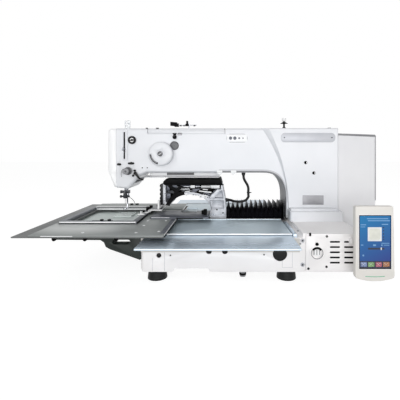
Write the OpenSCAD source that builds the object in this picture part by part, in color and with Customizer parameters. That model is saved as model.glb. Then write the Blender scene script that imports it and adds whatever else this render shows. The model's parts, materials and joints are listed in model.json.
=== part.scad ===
// Programmable pattern sewing machine, in millimetres. +X runs along the arm towards the pillar,
// +Y to the far side and +Z up. The origin is on the table under the middle of the machine.

/* [Head and arm] */
// Needle line, from the middle of the machine
needle_x = -322; // [-324:1:-319]
// Left end of the face cover
head_left = -359; // [-366:1:-356]
// Joint between the face cover and the arm casting
head_joint = -331; // [-334:1:-330]
// Top of the arm above the table
arm_top = 424; // [418:1:434]
// Underside of the arm above the table
arm_bottom = 281; // [276:1:284]
// Half the arm's width
arm_half = 58; // [56:1:60]
// Radius of the casting's long edges
arm_edge = 8; // [5:1:10]
// Lowest point of the head
nose_z = 229; // [226:1:234]
// Inner face of the pillar, towards the needle
throat_x = 214; // [213:1:222]
// Right face of the pillar and of the base
pillar_right = 380; // [374:1:392]
// How far the pillar stands proud of the arm's side
pillar_proud = 10; // [6:1:12]
// Height of the main shaft and hand wheel
shaft_z = 342; // [338:1:346]
// Radius of the hand wheel
hand_wheel_r = 38; // [34:1:41]
// Length of the rear cover, past the pillar
rear_cover_len = 123; // [112:1:132]
// Wall of the pressed covers
cover_wall = 3; // [2:0.5:4]

/* [Base] */
// Left end of the base
base_left = -202; // [-206:1:-200]
// Half the base's depth
base_half = 237; // [230:1:244]
// Top of the base under the pillar
base_top = 136; // [134:1:140]
// Height of the rubber feet
foot_h = 35; // [30:1:37]
// Radius of the rubber feet
foot_r = 27; // [24:0.5:28]
// Distance of the feet in from the base's near and far faces
foot_inset = 51; // [46:1:56]
// Wall of the base casting
base_wall = 12; // [10:1:14]
// Length of the vent cover
vent_cover_len = 142; // [136:1:146]
// Rows of vent slots
vent_rows = 5; // [3:1:5]

/* [Feed] */
// Half the depth spanned by the fixed wing covers
wing_half = 338; // [330:1:346]
// Near and far edges of the moving slide covers
slide_half = 230; // [224:1:236]
// Thickness of the moving slide covers
slide_sheet = 2; // [1.5:0.5:2]
// Left end of the slide covers
slide_left = -144; // [-150:1:-140]
// Right end of the slide covers
slide_right = 198; // [190:1:198]
// Number of bellows folds
bellows_folds = 12; // [8:1:13]
// Height of the bellows peaks
bellows_top = 182; // [174:1:184]
// Half the width of the feed bracket
bracket_half = 48; // [44:1:50]
// Top of the feed bracket casting
bracket_top = 243; // [238:1:245]
// Thickness of the black cover on the bracket
bracket_cover_h = 17; // [12:1:17]

/* [Clamp] */
// Left end of the lower clamp plate
clamp_left = -503; // [-510:1:-480]
// Right end of the clamp plates
clamp_right = -128; // [-132:1:-124]
// Near edge of the clamp plates
clamp_near = -292; // [-306:1:-280]
// Far edge of the clamp plates
clamp_far = 152; // [140:1:160]
// Thickness of each clamp plate
clamp_plate = 2.75; // [2.5:0.25:3.5]
// Width of the bright clamp frame
frame_w = 14; // [10:1:16]
// Top of the bed plate
bed_top = 132; // [131.5:0.1:132.3]

/* [Panel] */
// Width of the control panel
panel_w = 93; // [90:1:100]
// Height of the control panel
panel_h = 184; // [170:1:196]
// Thickness of the control panel
panel_d = 17; // [15:1:20]
// Width of the screen
screen_w = 80; // [70:1:84]
// Height of the screen
screen_h = 131; // [110:1:140]

/* [Hidden] */
$fn = 48;

run_gap = 0.05;      // running clearance of a shaft in its bush
slide_gap = 0.3;     // clearance between a block and its rail
over = 1;            // how far a cut runs past a face

paint = [0.93, 0.94, 0.95];
grey_paint = [0.82, 0.83, 0.84];
steel = [0.72, 0.74, 0.77];
polished = [0.66, 0.72, 0.77];
clamp_grey = [0.5, 0.52, 0.52];
cast_metal = [0.7, 0.71, 0.73];
dark_metal = [0.3, 0.32, 0.33];
black = [0.06, 0.06, 0.07];
white = [0.96, 0.96, 0.96];
cast_green = [0.13, 0.16, 0.15];

// ---- shared shapes ----

// A profile drawn in X and Z, stood up between two depths
module slab_y(y0, y1) {
  translate([0, y1, 0]) rotate([90, 0, 0]) linear_extrude(y1 - y0) children();
}

// A profile drawn in Y and Z, run between two places along X
module slab_x(x0, x1) {
  translate([x0, 0, 0]) rotate([90, 0, 90]) linear_extrude(x1 - x0) children();
}

module rod_x(r, x0, x1, y, z) {
  translate([x0, y, z]) rotate([0, 90, 0]) cylinder(r = r, h = x1 - x0);
}

module rod_y(r, y0, y1, x, z) {
  translate([x, y1, z]) rotate([90, 0, 0]) cylinder(r = r, h = y1 - y0);
}

module rod_z(r, z0, z1, x, y) {
  translate([x, y, z0]) cylinder(r = r, h = z1 - z0);
}

module cone_y(r0, r1, y0, y1, x, z) {
  translate([x, y0, z]) rotate([-90, 0, 0]) cylinder(r1 = r0, r2 = r1, h = y1 - y0);
}

module box(low, high) {
  translate(low) cube(high - low);
}

// A rectangle with round corners, given by two opposite corners
module round_rect(low, high, r) {
  translate([low[0] + r, low[1]]) square([high[0] - low[0] - 2 * r, high[1] - low[1]]);
  translate([low[0], low[1] + r]) square([high[0] - low[0], high[1] - low[1] - 2 * r]);
  for (x = [low[0] + r, high[0] - r], y = [low[1] + r, high[1] - r]) translate([x, y]) circle(r);
}

module plate(low, high, r, z0, z1) {
  translate([0, 0, z0]) linear_extrude(z1 - z0) round_rect(low, high, r);
}

// Skins a stack of outlines, each [depth, points], with equal numbers of points, from near to far
module loft(layers) {
  n = len(layers[0][1]);
  last = len(layers) - 1;
  polyhedron(
    [for (l = layers) for (p = l[1]) [p[0], l[0], p[1]]],
    concat(
      [[for (i = [0 : n - 1]) i]],
      [[for (i = [n - 1 : -1 : 0]) last * n + i]],
      [for (k = [0 : last - 1]) for (i = [0 : n - 1]) for (half = [0, 1])
        let (a = k * n + i, b = k * n + (i + 1) % n) half == 0 ? [a, a + n, b + n] : [a, b + n, b]]
    ),
    convexity = 8
  );
}

// A casting with its near and far faces cut flat at a half width
module faced(half) intersection() {
  children();
  box([-2 * rear_right, -half, -over], [2 * rear_right, half, 2 * arm_top]);
}

// [depth, inset] pairs that round the near and far edges of a casting
round_steps = 4;
function rounding(half, r) = concat(
  [for (i = [0 : round_steps]) let (a = 90 * i / round_steps) [-half + r * (1 - cos(a)), r * (1 - sin(a))]],
  [for (i = [round_steps : -1 : 0]) let (a = 90 * i / round_steps) [half - r * (1 - cos(a)), r * (1 - sin(a))]]
);

// the same for a casting whose near and far faces are machined flat by faced()
function proud_rounding(half, r) = let (steps = rounding(half, r), last = len(steps) - 1)
  [for (i = [0 : last]) i == 0 ? [-half - over, r] : i == last ? [half + over, r] : steps[i]];

// ---- derived sizes ----

pillar_half = arm_half + pillar_proud;
base_right = pillar_right;
base_step_x = throat_x + 10;      // where the base rises to carry the pillar
shelf_z = 124;                    // top of the base walls that carry the wing covers
recess_floor = 100;
recess_left = base_left + 20;
recess_right = slide_right - 6;
recess_half = base_half - base_wall;
near_face = -arm_half;
pillar_near = -pillar_half;
base_near = -base_half;

// ---- arm casting ----

corner_rx = 79;
corner_rz = 91;
corner_z = arm_bottom - corner_rz;
corner_x = throat_x - corner_rx;
corner_power = 2.6;
corner_steps = 10;
nose_right = head_joint + 42;
nose_knee = [head_joint + 77, arm_bottom - 10];
nose_top_x = head_joint + 96;

// Throat corner at an inset, from the pillar face up and round to the arm's underside
function throat_corner(e) = [for (i = [0 : corner_steps]) let (a = 90 * i / corner_steps)
  [corner_x + (corner_rx + e) * pow(cos(a), 2 / corner_power),
   corner_z + (corner_rz + e) * pow(sin(a), 2 / corner_power)]];

function frame_outline(e) = concat(
  [[head_joint, arm_top - e], [pillar_right - e, arm_top - e], [pillar_right - e, base_top], [throat_x + e, base_top]],
  throat_corner(e),
  [[nose_top_x, arm_bottom + e], [nose_knee[0] - e, nose_knee[1] + e], [nose_right - e, nose_z + 3 + e],
   [nose_right - 5 - e, nose_z + e], [head_joint, nose_z + 3 + e]]
);

// Edge of the proud pillar face: steep at the foot, sweeping out over the arm at the top
ridge_steps = 14;
ridge_reach = 60;
ridge_power = 2.3;
function ridge(shift, e) = [for (i = [0 : ridge_steps]) let (u = i / ridge_steps)
  [throat_x + arm_edge - (ridge_reach + shift) * pow(u, ridge_power), base_top + (arm_top - e - base_top) * u]];
function pillar_outline(shift, e) = concat(
  ridge(shift, e), [[pillar_right - e, arm_top - e], [pillar_right - e, base_top]]);

cavity_left = head_joint - over;
cavity_right = head_joint + 69;
cavity_half = 48;
cavity_floor = nose_z + 17;
cavity_top = arm_top - 16;
web_z = [338, 352];
web_right = head_joint + 22;
slot_x = head_joint + 26.5;
slot_z = [325, 412];
slot_w = 5;
top_cover_x = [-229, 18];
top_cover_z = arm_top - 18;
tunnel_r = 20;
tunnel_left = cavity_right + 26;
tunnel_right = pillar_right - 30;
shaft_r = 7.5;
bush_r = 12;
hand_wheel_x = -185;
hand_wheel_bore_r = 10;
winder_wheel_at = [-144, 368];
accessory_holes = [[275, 314], [301, 281]];
accessory_hole_r = 4.25;
accessory_depth = 20;
guide_holes_x = [-247, -231];
guide_hole_z = 297;
guide_hole_r = 2;
guide_hole_depth = 10;
foot_flange_half = pillar_half + 41;
foot_flange_z = 165;
foot_ledge_z = 172;
presser_y = 22;
bar_r = 4;
bar_bush_r = 6.5;
takeup_pivot = [34, 357];
takeup_shaft_r = 4;

module needle_area_bores() {
  for (y = [0, presser_y]) rod_z(bar_bush_r, nose_z - over, cavity_floor + over, needle_x, y);
  rod_z(bar_bush_r, web_z[0] - over, web_z[1] + over, needle_x, 0);
}

module takeup_slot(y0, y1) {
  slab_y(y0, y1) round_rect([slot_x - slot_w / 2, slot_z[0]], [slot_x + slot_w / 2, slot_z[1]], slot_w / 2 - 0.1);
}

module arm_shell() {
  faced(arm_half) loft([for (s = proud_rounding(arm_half, arm_edge)) [s[0], frame_outline(s[1])]]);
  for (far = [0, 1]) mirror([0, far, 0])
    faced(pillar_half) loft([
      [pillar_near - over, pillar_outline(0, 5)],
      [pillar_near + 0.15 * pillar_proud, pillar_outline(7, 2)],
      [pillar_near + 0.5 * pillar_proud, pillar_outline(16, 0)],
      [near_face + 1, pillar_outline(27, 0)],
      [near_face + arm_edge + 2, pillar_outline(27, 0)]
    ]);
  // flange that bolts the pillar down, with a ledge above it
  plate([throat_x + 4, -foot_flange_half], [pillar_right, foot_flange_half], 6, base_top, foot_flange_z);
  plate([throat_x + 8, -foot_flange_half + 14], [pillar_right - 12, foot_flange_half - 14], 6, foot_flange_z, foot_ledge_z);
  // raised pad round the two accessory holes by the head
  slab_y(near_face - 1.5, near_face + over)
    round_rect([guide_holes_x[0] - 8, guide_hole_z - 6], [guide_holes_x[1] + 8, guide_hole_z + 6], 5.5);
  // boss round the winder wheel
  rod_y(19, near_face - 1.5, near_face + over, winder_wheel_at[0], winder_wheel_at[1]);
}

module arm_casting() color(paint) {
  difference() {
    arm_shell();
    box([cavity_left, -cavity_half, cavity_floor], [cavity_right, cavity_half, cavity_top]);
    takeup_slot(near_face - 2, -cavity_half + over);
    needle_area_bores();
    // the main shaft's tunnel and its two bush seats
    rod_x(tunnel_r, tunnel_left, tunnel_right, 0, shaft_z);
    rod_x(bush_r, cavity_right - over, tunnel_left + over, 0, shaft_z);
    rod_x(bush_r, tunnel_right - over, pillar_right + over, 0, shaft_z);
    // hand wheel's bore, into the tunnel
    rod_y(hand_wheel_bore_r, near_face - over, -tunnel_r / 2, hand_wheel_x, shaft_z);
    rod_y(14.5, near_face - 2.5, near_face + 8, winder_wheel_at[0], winder_wheel_at[1]);
    rod_x(takeup_shaft_r + run_gap, cavity_right - over, cavity_right + 16, takeup_pivot[0], takeup_pivot[1]);
    // seat of the top cover
    box([top_cover_x[0] - 2, -arm_half - over, top_cover_z], [top_cover_x[1] + 2, arm_half + over, arm_top + over]);
    for (h = accessory_holes)
      rod_y(accessory_hole_r, pillar_near - over, pillar_near + accessory_depth, h[0], h[1]);
    for (g = hook_guides)
      rod_y(guide_stud_r, near_face - over, near_face + guide_stud_len, g[0], g[1]);
    for (x = guide_holes_x) rod_y(guide_hole_r, near_face - 2.5, near_face + guide_hole_depth, x, guide_hole_z);
  }
  // guide web for the needle bar's upper bush
  difference() {
    box([head_joint, -cavity_half - over, web_z[0]], [web_right, cavity_half + over, web_z[1]]);
    rod_z(bar_bush_r, web_z[0] - over, web_z[1] + over, needle_x, 0);
  }
}

function face_outline(e) = [
  [head_joint, arm_top - 1 - e], [head_left + 7 + e, arm_top - 1 - e], [head_left + e, arm_top - 8 - e],
  [head_left + e, 285], [head_left + 20 + e, nose_z + 6 + e], [head_joint, nose_z + 4 + e]
];

module face_cover() color(paint) difference() {
  faced(arm_half - 1) loft([for (s = proud_rounding(arm_half - 1, arm_edge)) [s[0], face_outline(s[1])]]);
  slab_y(-cavity_half, cavity_half) polygon([
    [head_joint + over, arm_top - 12], [head_left + cover_wall + 8, arm_top - 12],
    [head_left + cover_wall, arm_top - 20], [head_left + cover_wall, 288],
    [head_left + 25, nose_z + 14], [head_joint + over, nose_z + 12]
  ]);
}

module top_cover() color(paint) difference() {
  intersection() {
    loft([for (s = proud_rounding(arm_half, arm_edge)) [s[0], frame_outline(s[1])]]);
    box([top_cover_x[0], -arm_half - over, top_cover_z], [top_cover_x[1], arm_half + over, arm_top + over]);
  }
  box([top_cover_x[0] + cover_wall, -arm_half + cover_wall + 5, top_cover_z - over],
      [top_cover_x[1] - cover_wall, arm_half - cover_wall - 5, arm_top - cover_wall]);
}

rear_right = pillar_right + rear_cover_len;
rear_bottom = 60;
rear_edge = 5;
function rear_outline(e) = [
  [pillar_right, arm_top - 17 - e], [rear_right - 3 - e, arm_top - 21 - e], [rear_right - e, arm_top - 25 - e],
  [rear_right - e, rear_bottom + e], [pillar_right, rear_bottom + e]
];

module rear_cover() color(grey_paint) difference() {
  faced(arm_half) loft([for (s = proud_rounding(arm_half, rear_edge)) [s[0], rear_outline(s[1])]]);
  box([pillar_right - over, -arm_half + cover_wall, rear_bottom + cover_wall],
      [rear_right - cover_wall, arm_half - cover_wall, arm_top - 22 - cover_wall]);
}

motor_r = 42;
motor_x = [pillar_right, pillar_right + 92];
module main_motor() color(dark_metal) difference() {
  union() {
    rod_x(motor_r + 5, motor_x[0], motor_x[0] + 8, 0, shaft_z);
    rod_x(motor_r, motor_x[0], motor_x[1], 0, shaft_z);
    rod_x(motor_r - 12, motor_x[1], motor_x[1] + 14, 0, shaft_z);
  }
  rod_x(shaft_r + run_gap, motor_x[0] - over, motor_x[0] + 30, 0, shaft_z);
}

crank_x = cavity_right - 3;
bevel_r = [9, 13.5];   // small and large ends of the two 45 degree bevel wheels
mesh_gap = 0.4;
module main_shaft() color(steel) {
  rod_x(shaft_r, crank_x - 8, motor_x[0] + 28, 0, shaft_z);
  // crank disc and pin in the head
  rod_x(16, crank_x - 10, crank_x - 2, 0, shaft_z);
  rod_x(3, crank_x - 18, crank_x - 9, 0, shaft_z - 11);
  // bevel wheel that the hand wheel turns
  translate([hand_wheel_x - bevel_r[1], 0, shaft_z]) rotate([0, 90, 0])
    cylinder(r1 = bevel_r[1], r2 = bevel_r[0], h = bevel_r[1] - bevel_r[0]);
}

module bush_z(r, z0, z1, x, y) {
  difference() {
    rod_z(bar_bush_r, z0, z1, x, y);
    rod_z(r, z0 - over, z1 + over, x, y);
  }
}

module bush_x(x0, x1) {
  difference() {
    rod_x(bush_r, x0, x1, 0, shaft_z);
    rod_x(shaft_r + run_gap, x0 - over, x1 + over, 0, shaft_z);
  }
}

module bushes() color([0.75, 0.62, 0.36]) {
  for (y = [0, presser_y]) bush_z(bar_r + run_gap, nose_z - 2, cavity_floor + 1, needle_x, y);
  bush_z(bar_r + run_gap, web_z[0], web_z[1], needle_x, 0);
  bush_x(cavity_right, tunnel_left);
  bush_x(tunnel_right, pillar_right);
}

module hand_wheel() color(paint) {
  difference() {
    union() {
      rod_y(hand_wheel_r, near_face - 20, near_face - 3, hand_wheel_x, shaft_z);
      cone_y(hand_wheel_r - 4, hand_wheel_r, near_face - 23, near_face - 20, hand_wheel_x, shaft_z);
    }
    rod_y(12, near_face - 24, near_face - 20, hand_wheel_x, shaft_z);
    // finger slot along an arc at the lower left
    intersection() {
      difference() {
        rod_y(hand_wheel_r - 4, near_face - 24, near_face - 14, hand_wheel_x, shaft_z);
        rod_y(hand_wheel_r - 10, near_face - 25, near_face - 13, hand_wheel_x, shaft_z);
      }
      slab_y(near_face - 24, near_face - 14)
        translate([hand_wheel_x, shaft_z]) polygon([[0, 0], [-60, -2], [-60, -60], [-14, -60]]);
    }
  }
  // hub, its screw slot, the shaft and its bevel wheel
  difference() {
    rod_y(9, near_face - 24, near_face - 18, hand_wheel_x, shaft_z);
    slab_y(near_face - 25, near_face - 22)
      translate([hand_wheel_x, shaft_z]) rotate(35) square([20, 2], center = true);
  }
  rod_y(hand_wheel_bore_r - run_gap, near_face - 4, -bevel_r[1], hand_wheel_x, shaft_z);
  cone_y(bevel_r[1], bevel_r[0], -bevel_r[1] - mesh_gap, -bevel_r[0] - mesh_gap, hand_wheel_x, shaft_z);
}

module winder_wheel() color([0.42, 0.43, 0.44])
  rod_y(13.5, near_face - 2.4, near_face + 8, winder_wheel_at[0], winder_wheel_at[1]);

takeup_reach = arm_half + 17 + takeup_pivot[0];
module takeup_lever() color(steel) {
  difference() {
    slab_x(slot_x - 1.25, slot_x + 1.25) {
      translate(takeup_pivot) circle(6.5);
      translate([takeup_pivot[0] - takeup_reach, takeup_pivot[1]]) circle(5);
      translate(takeup_pivot) polygon([[0, -5], [0, 5], [-takeup_reach, 3.2], [-takeup_reach, -3.2]]);
    }
    rod_x(1.5, slot_x - 3, slot_x + 3, takeup_pivot[0] - takeup_reach, takeup_pivot[1]);
  }
  rod_x(8, slot_x - 4, slot_x + 4, takeup_pivot[0], takeup_pivot[1]);
  rod_x(takeup_shaft_r, slot_x, cavity_right + 15, takeup_pivot[0], takeup_pivot[1]);
}

module takeup_guard() color(white) difference() {
  slab_y(near_face - 3, near_face) round_rect([slot_x - 4.5, slot_z[0] - 4], [slot_x + 11, arm_top - arm_edge], 3);
  takeup_slot(near_face - 4, near_face + over);
}

needle_tip_z = 162;
clamp_z = [190, 206];
module needle_bar() color(steel) {
  rod_z(bar_r, clamp_z[0], 395, needle_x, 0);
  // collar that the crank link would hold
  rod_z(9, 312, 326, needle_x, 0);
}

module needle_clamp() color(steel) {
  difference() {
    union() {
      rod_z(6.5, clamp_z[0], clamp_z[1], needle_x, 0);
      rod_x(3, needle_x - 17, needle_x + 15, 0, clamp_z[0] + 6);
      rod_x(4.5, needle_x - 17, needle_x - 12, 0, clamp_z[0] + 6);
      // thread guide above the clamp, a bow-tie plate
      slab_y(-7, 7) polygon([
        [needle_x - 15, clamp_z[1] + 1], [needle_x - 15, clamp_z[1] + 11], [needle_x, clamp_z[1] + 8],
        [needle_x + 15, clamp_z[1] + 12], [needle_x + 15, clamp_z[1] + 1], [needle_x, clamp_z[1] + 3]
      ]);
      rod_z(6, clamp_z[1] - over, clamp_z[1] + 10, needle_x, 0);
    }
    rod_z(bar_r, clamp_z[0] - over, clamp_z[1] + 20, needle_x, 0);
  }
}

module needle() color(steel) {
  rod_z(0.8, needle_tip_z + 6, clamp_z[0], needle_x, 0);
  translate([needle_x, 0, needle_tip_z]) cylinder(r1 = 0.2, r2 = 0.8, h = 6);
}

module presser_bar() color(steel) {
  rod_z(bar_r, 196, 300, needle_x, presser_y);
  rod_z(8, 268, 280, needle_x, presser_y);
}

foot_z = [152.6, 155.4];
foot_ring_r = 6.8;
foot_hole_r = 4.8;
module presser_foot() color(steel) difference() {
  union() {
    rod_z(6.5, 190, 206, needle_x, presser_y);
    rod_z(2.5, foot_z[0], 190, needle_x, presser_y);
    box([needle_x - 2, 0, foot_z[0]], [needle_x + 2, presser_y, foot_z[1]]);
    rod_z(foot_ring_r, foot_z[0], foot_z[1], needle_x, 0);
  }
  rod_z(foot_hole_r, foot_z[0] - over, foot_z[1] + over, needle_x, 0);
  rod_z(bar_r, 196, 207, needle_x, presser_y);
}

tension_at = [-292, 287];
module tension_unit() color(steel) {
  rod_y(10, near_face - 3, near_face, tension_at[0], tension_at[1]);
  rod_y(3, near_face - 30, near_face - 3, tension_at[0], tension_at[1]);
  // two dished discs, back to back
  cone_y(13, 10, near_face - 6, near_face - 4.5, tension_at[0], tension_at[1]);
  rod_y(3.5, near_face - 4.6, near_face - 3, tension_at[0], tension_at[1]);
  cone_y(10, 13, near_face - 8, near_face - 6.5, tension_at[0], tension_at[1]);
  rod_y(4, near_face - 6.6, near_face - 5.9, tension_at[0], tension_at[1]);
  // spring, drawn as its sleeve
  cone_y(5, 9, near_face - 18, near_face - 7.9, tension_at[0], tension_at[1]);
}

module tension_knob() color([0.45, 0.45, 0.47]) difference() {
  union() {
    rod_y(9, near_face - 29, near_face - 20, tension_at[0], tension_at[1]);
    for (a = [0 : 30 : 330]) rod_y(1.2, near_face - 28, near_face - 21,
      tension_at[0] + 9 * cos(a), tension_at[1] + 9 * sin(a));
  }
  rod_y(3 + run_gap, near_face - 31, near_face - 18, tension_at[0], tension_at[1]);
}

// thread guides on the arm's near face: place in X and Z, and width
hook_guides = [[-283, 311, 20], [-321, 308, 12], [-143, 399, 10]];
module thread_guide(x, z, w) {
  slab_y(near_face - 3, near_face) round_rect([x - w / 2, z - 3.5], [x + w / 2, z + 3.5], 3.4);
  rod_y(guide_stud_r, near_face - over, near_face + guide_stud_len, x, z);
  rod_y(2, near_face - 12, near_face - 2, x, z);
  rod_y(3.4, near_face - 13, near_face - 11, x, z);
}

module thread_guides() color(black) {
  for (g = hook_guides) thread_guide(g[0], g[1], g[2]);
  for (at = [[-271, 288], [-276, 272]]) rod_y(3.5, near_face - 5, near_face, at[0], at[1]);
  rod_y(2.5, near_face - 10, near_face, lever_pivot[0], lever_pivot[1]);
}

lever_pivot = [-268, 280];
module release_lever() color(black) difference() {
  slab_y(near_face - 9, near_face - 5.5) {
    translate(lever_pivot) circle(5);
    translate(lever_pivot) polygon([[-3.5, -2], [3.5, 2], [16, -15], [27, -19], [26, -23], [12, -19]]);
  }
  rod_y(2.5 + run_gap, near_face - 10, near_face - 5, lever_pivot[0], lever_pivot[1]);
}

module top_guides() color(white) {
  // clear thread guard over the head
  difference() {
    box([slot_x - 4, near_face + 12, arm_top], [slot_x + 12, near_face + 22, arm_top + 26]);
    rod_x(2, slot_x - 5, slot_x + 13, near_face + 17, arm_top + 18);
    box([slot_x - 1, near_face + 11, arm_top + 6], [slot_x + 5, near_face + 23, arm_top + 27]);
  }
  // thread stand pieces along the arm
  color(black) {
    rod_z(2.5, arm_top, arm_top + 20, -102, -20);
    rod_x(1.5, -148, -77, -20, arm_top + 13);
    rod_x(6, -150, -136, -20, arm_top + 13);
  }
}

tension_post_x = 215;
module top_tension() color(black) {
  rod_z(3, arm_top, arm_top + 33, tension_post_x, -20);
  rod_z(6, arm_top, arm_top + 5, tension_post_x, -20);
  translate([tension_post_x, -20, arm_top + 18]) cylinder(r1 = 13, r2 = 5, h = 5);
  color(white) rod_z(7, arm_top + 26, arm_top + 36, tension_post_x, -20);
  rod_z(6, arm_top, arm_top + 4, pillar_right - 14, -20);
}

arm_knob_at = [-280, 386];
module arm_knob() color(black) difference() {
  rod_y(13, near_face - 4, near_face, arm_knob_at[0], arm_knob_at[1]);
  rod_y(10, near_face - 5, near_face - 2, arm_knob_at[0], arm_knob_at[1]);
}

under_cover_half = [14, 24];
under_cover_z = [262, 266, 268];
module under_arm_cover() color(white) difference() {
  union() {
    box([nose_top_x, -under_cover_half[0], under_cover_z[2]], [0, under_cover_half[0], arm_bottom]);
    box([nose_top_x - 18, -under_cover_half[1], under_cover_z[0]], [0, under_cover_half[1], under_cover_z[1]]);
    box([nose_top_x, -4, under_cover_z[1] - 1], [0, 4, under_cover_z[2] + 1]);
  }
  box([-177, -15, 270], [-86, -4, 279]);
}

module under_arm_lamp() color([0.55, 0.56, 0.57]) box([-177, -14, 270], [-86, -4, 279]);

// ---- bed ----

bed_arm_left = -372;
bed_arm_half = 48;
bed_arm_z = [70, bed_top - 3];
hook_z = 97;
hook_r = 22;
hook_x = [needle_x - 24, needle_x - 4];

module bed_arm() color(cast_green) difference() {
  intersection() {
    box([bed_arm_left, -bed_arm_half, bed_arm_z[0]], [base_left, bed_arm_half, bed_arm_z[1]]);
    slab_x(bed_arm_left - over, base_left + over)
      round_rect([-bed_arm_half, bed_arm_z[0]], [bed_arm_half, bed_arm_z[1] + 20], 16);
  }
  // hook cavity, open at the end and under the throat plate
  box([bed_arm_left - over, -30, bed_arm_z[0] + 4], [needle_x + 6, 30, bed_arm_z[1] - 4]);
  box([hook_x[0] - 4, -22, hook_z], [needle_x + 4, 22, bed_arm_z[1] + over]);
  rod_x(6, needle_x, base_left + over, 0, hook_z);
}

module shuttle_hook() color(steel) difference() {
  union() {
    rod_x(hook_r, hook_x[0], hook_x[1], 0, hook_z);
    rod_x(6 - run_gap, hook_x[1], base_left - 2, 0, hook_z);
  }
  rod_x(hook_r - 5, hook_x[0] - over, hook_x[1] - 5, 0, hook_z);
  // gap behind the hook's point
  box([hook_x[0] - over, -hook_r - over, hook_z + 4], [hook_x[0] + 8, 0, hook_z + hook_r + over]);
}

module bobbin_case() color(steel) difference() {
  rod_x(hook_r - 5 - 0.3, hook_x[0] - 3, hook_x[1] - 5.3, 0, hook_z);
  rod_x(4, hook_x[0] - 4, hook_x[1] - 12, 0, hook_z);
  box([hook_x[0] - 4, -3, hook_z + 8], [hook_x[0] - 1, 3, hook_z + hook_r]);
}

throat_top = bed_top + 4;
needle_hole_r = 3.2;
throat_low = [needle_x - 30, -30];
throat_high = [needle_x + 30, 30];
module throat_plate() color(steel) difference() {
  plate(throat_low, throat_high, 4, bed_top - 3, throat_top);
  rod_z(needle_hole_r, bed_top - 4, throat_top + over, needle_x, 0);
  for (x = [-22, 22], y = [-22, 22])
    translate([needle_x + x, y, throat_top - 1.7]) cylinder(r = 4, h = 3);
}

bed_left = -461;
bed_half = 225;
module bed_plate() color(polished) difference() {
  plate([bed_left, -bed_half], [base_left, bed_half], 6, bed_top - 3, bed_top);
  plate(throat_low - [slide_gap, slide_gap], throat_high + [slide_gap, slide_gap], 4.3, bed_top - 4, bed_top + over);
}

module bed_bracket_profile() {
  difference() {
    polygon([
      [-434, bed_top - 3], [-434, bed_top - 13], [-306, bed_top - 14], [-297, bed_top - 20], [-292, 100],
      [-281, 94], [base_left, 66], [base_left, bed_top - 3]
    ]);
    round_rect([-275, 107], [-228, 119], 5.9);
  }
}

module bed_brackets() color(cast_green)
  for (far = [0, 1]) mirror([0, far, 0]) slab_y(-base_half, -base_half + 26) bed_bracket_profile();

// ---- base ----

foot_x = [-168, 190];
foot_y = base_half - foot_inset;
left_block_right = -111;
drain_at = [68, base_near + 30];
stud_r = 5;

module base_profile() {
  polygon([
    [base_left, shelf_z], [base_left, foot_h + 10], [base_left + 6, foot_h], [left_block_right - 6, foot_h],
    [left_block_right, foot_h + 9], [-24, foot_h + 9], [-20, foot_h], [base_right, foot_h],
    [base_right, base_top], [base_step_x, base_top], [base_step_x, shelf_z]
  ]);
}

vent_left = base_right - 7 - vent_cover_len;
vent_right = vent_left + vent_cover_len;
vent_z = [39, base_top];
vent_bay_depth = 85;
guide_stud_r = 2;
guide_stud_len = 6;

module base_casting() color(paint) difference() {
  intersection() {
    slab_y(-base_half, base_half) base_profile();
    plate([base_left, -base_half], [base_right, base_half], 10, 0, base_top + over);
  }
  // carriage recess in the top
  box([recess_left, -recess_half, recess_floor], [recess_right, recess_half, base_top]);
  for (x = foot_x, y = [-foot_y, foot_y]) rod_z(stud_r, 0, foot_h + 20, x, y);
  // bay behind the vent cover
  box([vent_left + 10, base_near - over, 50], [vent_right - 10, base_near + vent_bay_depth, base_top - base_wall]);
  // round plugs and holes in the near face
  rod_y(6.5, base_near - over, base_near + 5, -153, 78);
  rod_y(2.5, base_near - over, base_near + 5, -123, 78);
  for (x = [-22, 20]) rod_y(8.6, base_near - over, base_near + 5, x, 90);
  rod_y(19, base_near - over, base_near + 3, 164, 82);
  rod_y(2, base_near - over, base_near + 5, 122, 81);
}

module rubber_feet() color(black) {
  for (x = foot_x, y = [-foot_y, foot_y]) {
    translate([x, y, 0]) cylinder(r1 = foot_r, r2 = foot_r - 3, h = foot_h - 8);
    rod_z(foot_r - 1, foot_h - 8, foot_h, x, y);
    rod_z(stud_r, foot_h - over, foot_h + 20, x, y);
  }
}

window_at = [259, 87];
window_r = 16.5;
window_stem_r = 4;
vent_columns = [293, 330];
vent_slot = [26, 4.5];
vent_pitch = 13.5;
vent_top_z = 115;
cover_t = 5;

module vent_cover() color(paint) difference() {
  union() {
    slab_y(base_near - cover_t, base_near) round_rect([vent_left, vent_z[0]], [vent_right, vent_z[1]], 5);
    rod_y(window_r + 3, base_near - cover_t - 3, base_near - over, window_at[0], window_at[1]);
  }
  rod_y(window_r - 2, base_near - cover_t - 4, base_near - 2, window_at[0], window_at[1]);
  rod_y(window_stem_r + run_gap, base_near - 3, base_near + over, window_at[0], window_at[1]);
  for (x = vent_columns, i = [0 : vent_rows - 1])
    slab_y(base_near - cover_t - over, base_near + over)
      round_rect([x, vent_top_z - i * vent_pitch - vent_slot[1] / 2],
                 [x + vent_slot[0], vent_top_z - i * vent_pitch + vent_slot[1] / 2], vent_slot[1] / 2 - 0.1);
}

module gauge_knob() color(white) {
  rod_y(window_stem_r, base_near - 3, base_near + base_wall, window_at[0], window_at[1]);
  difference() {
    rod_y(10, base_near - cover_t - 2, base_near - 2.3, window_at[0], window_at[1]);
    for (a = [0 : 30 : 330])
      rod_y(1.1, base_near - cover_t - 3, base_near - 2, window_at[0] + 10 * cos(a), window_at[1] + 10 * sin(a));
  }
}

module drain_plug() color(steel) {
  rod_z(16, foot_h - 4, foot_h, drain_at[0], drain_at[1]);
  rod_z(8, foot_h - 23, foot_h - 4, drain_at[0], drain_at[1]);
}

// ---- cross feed ----

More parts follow.
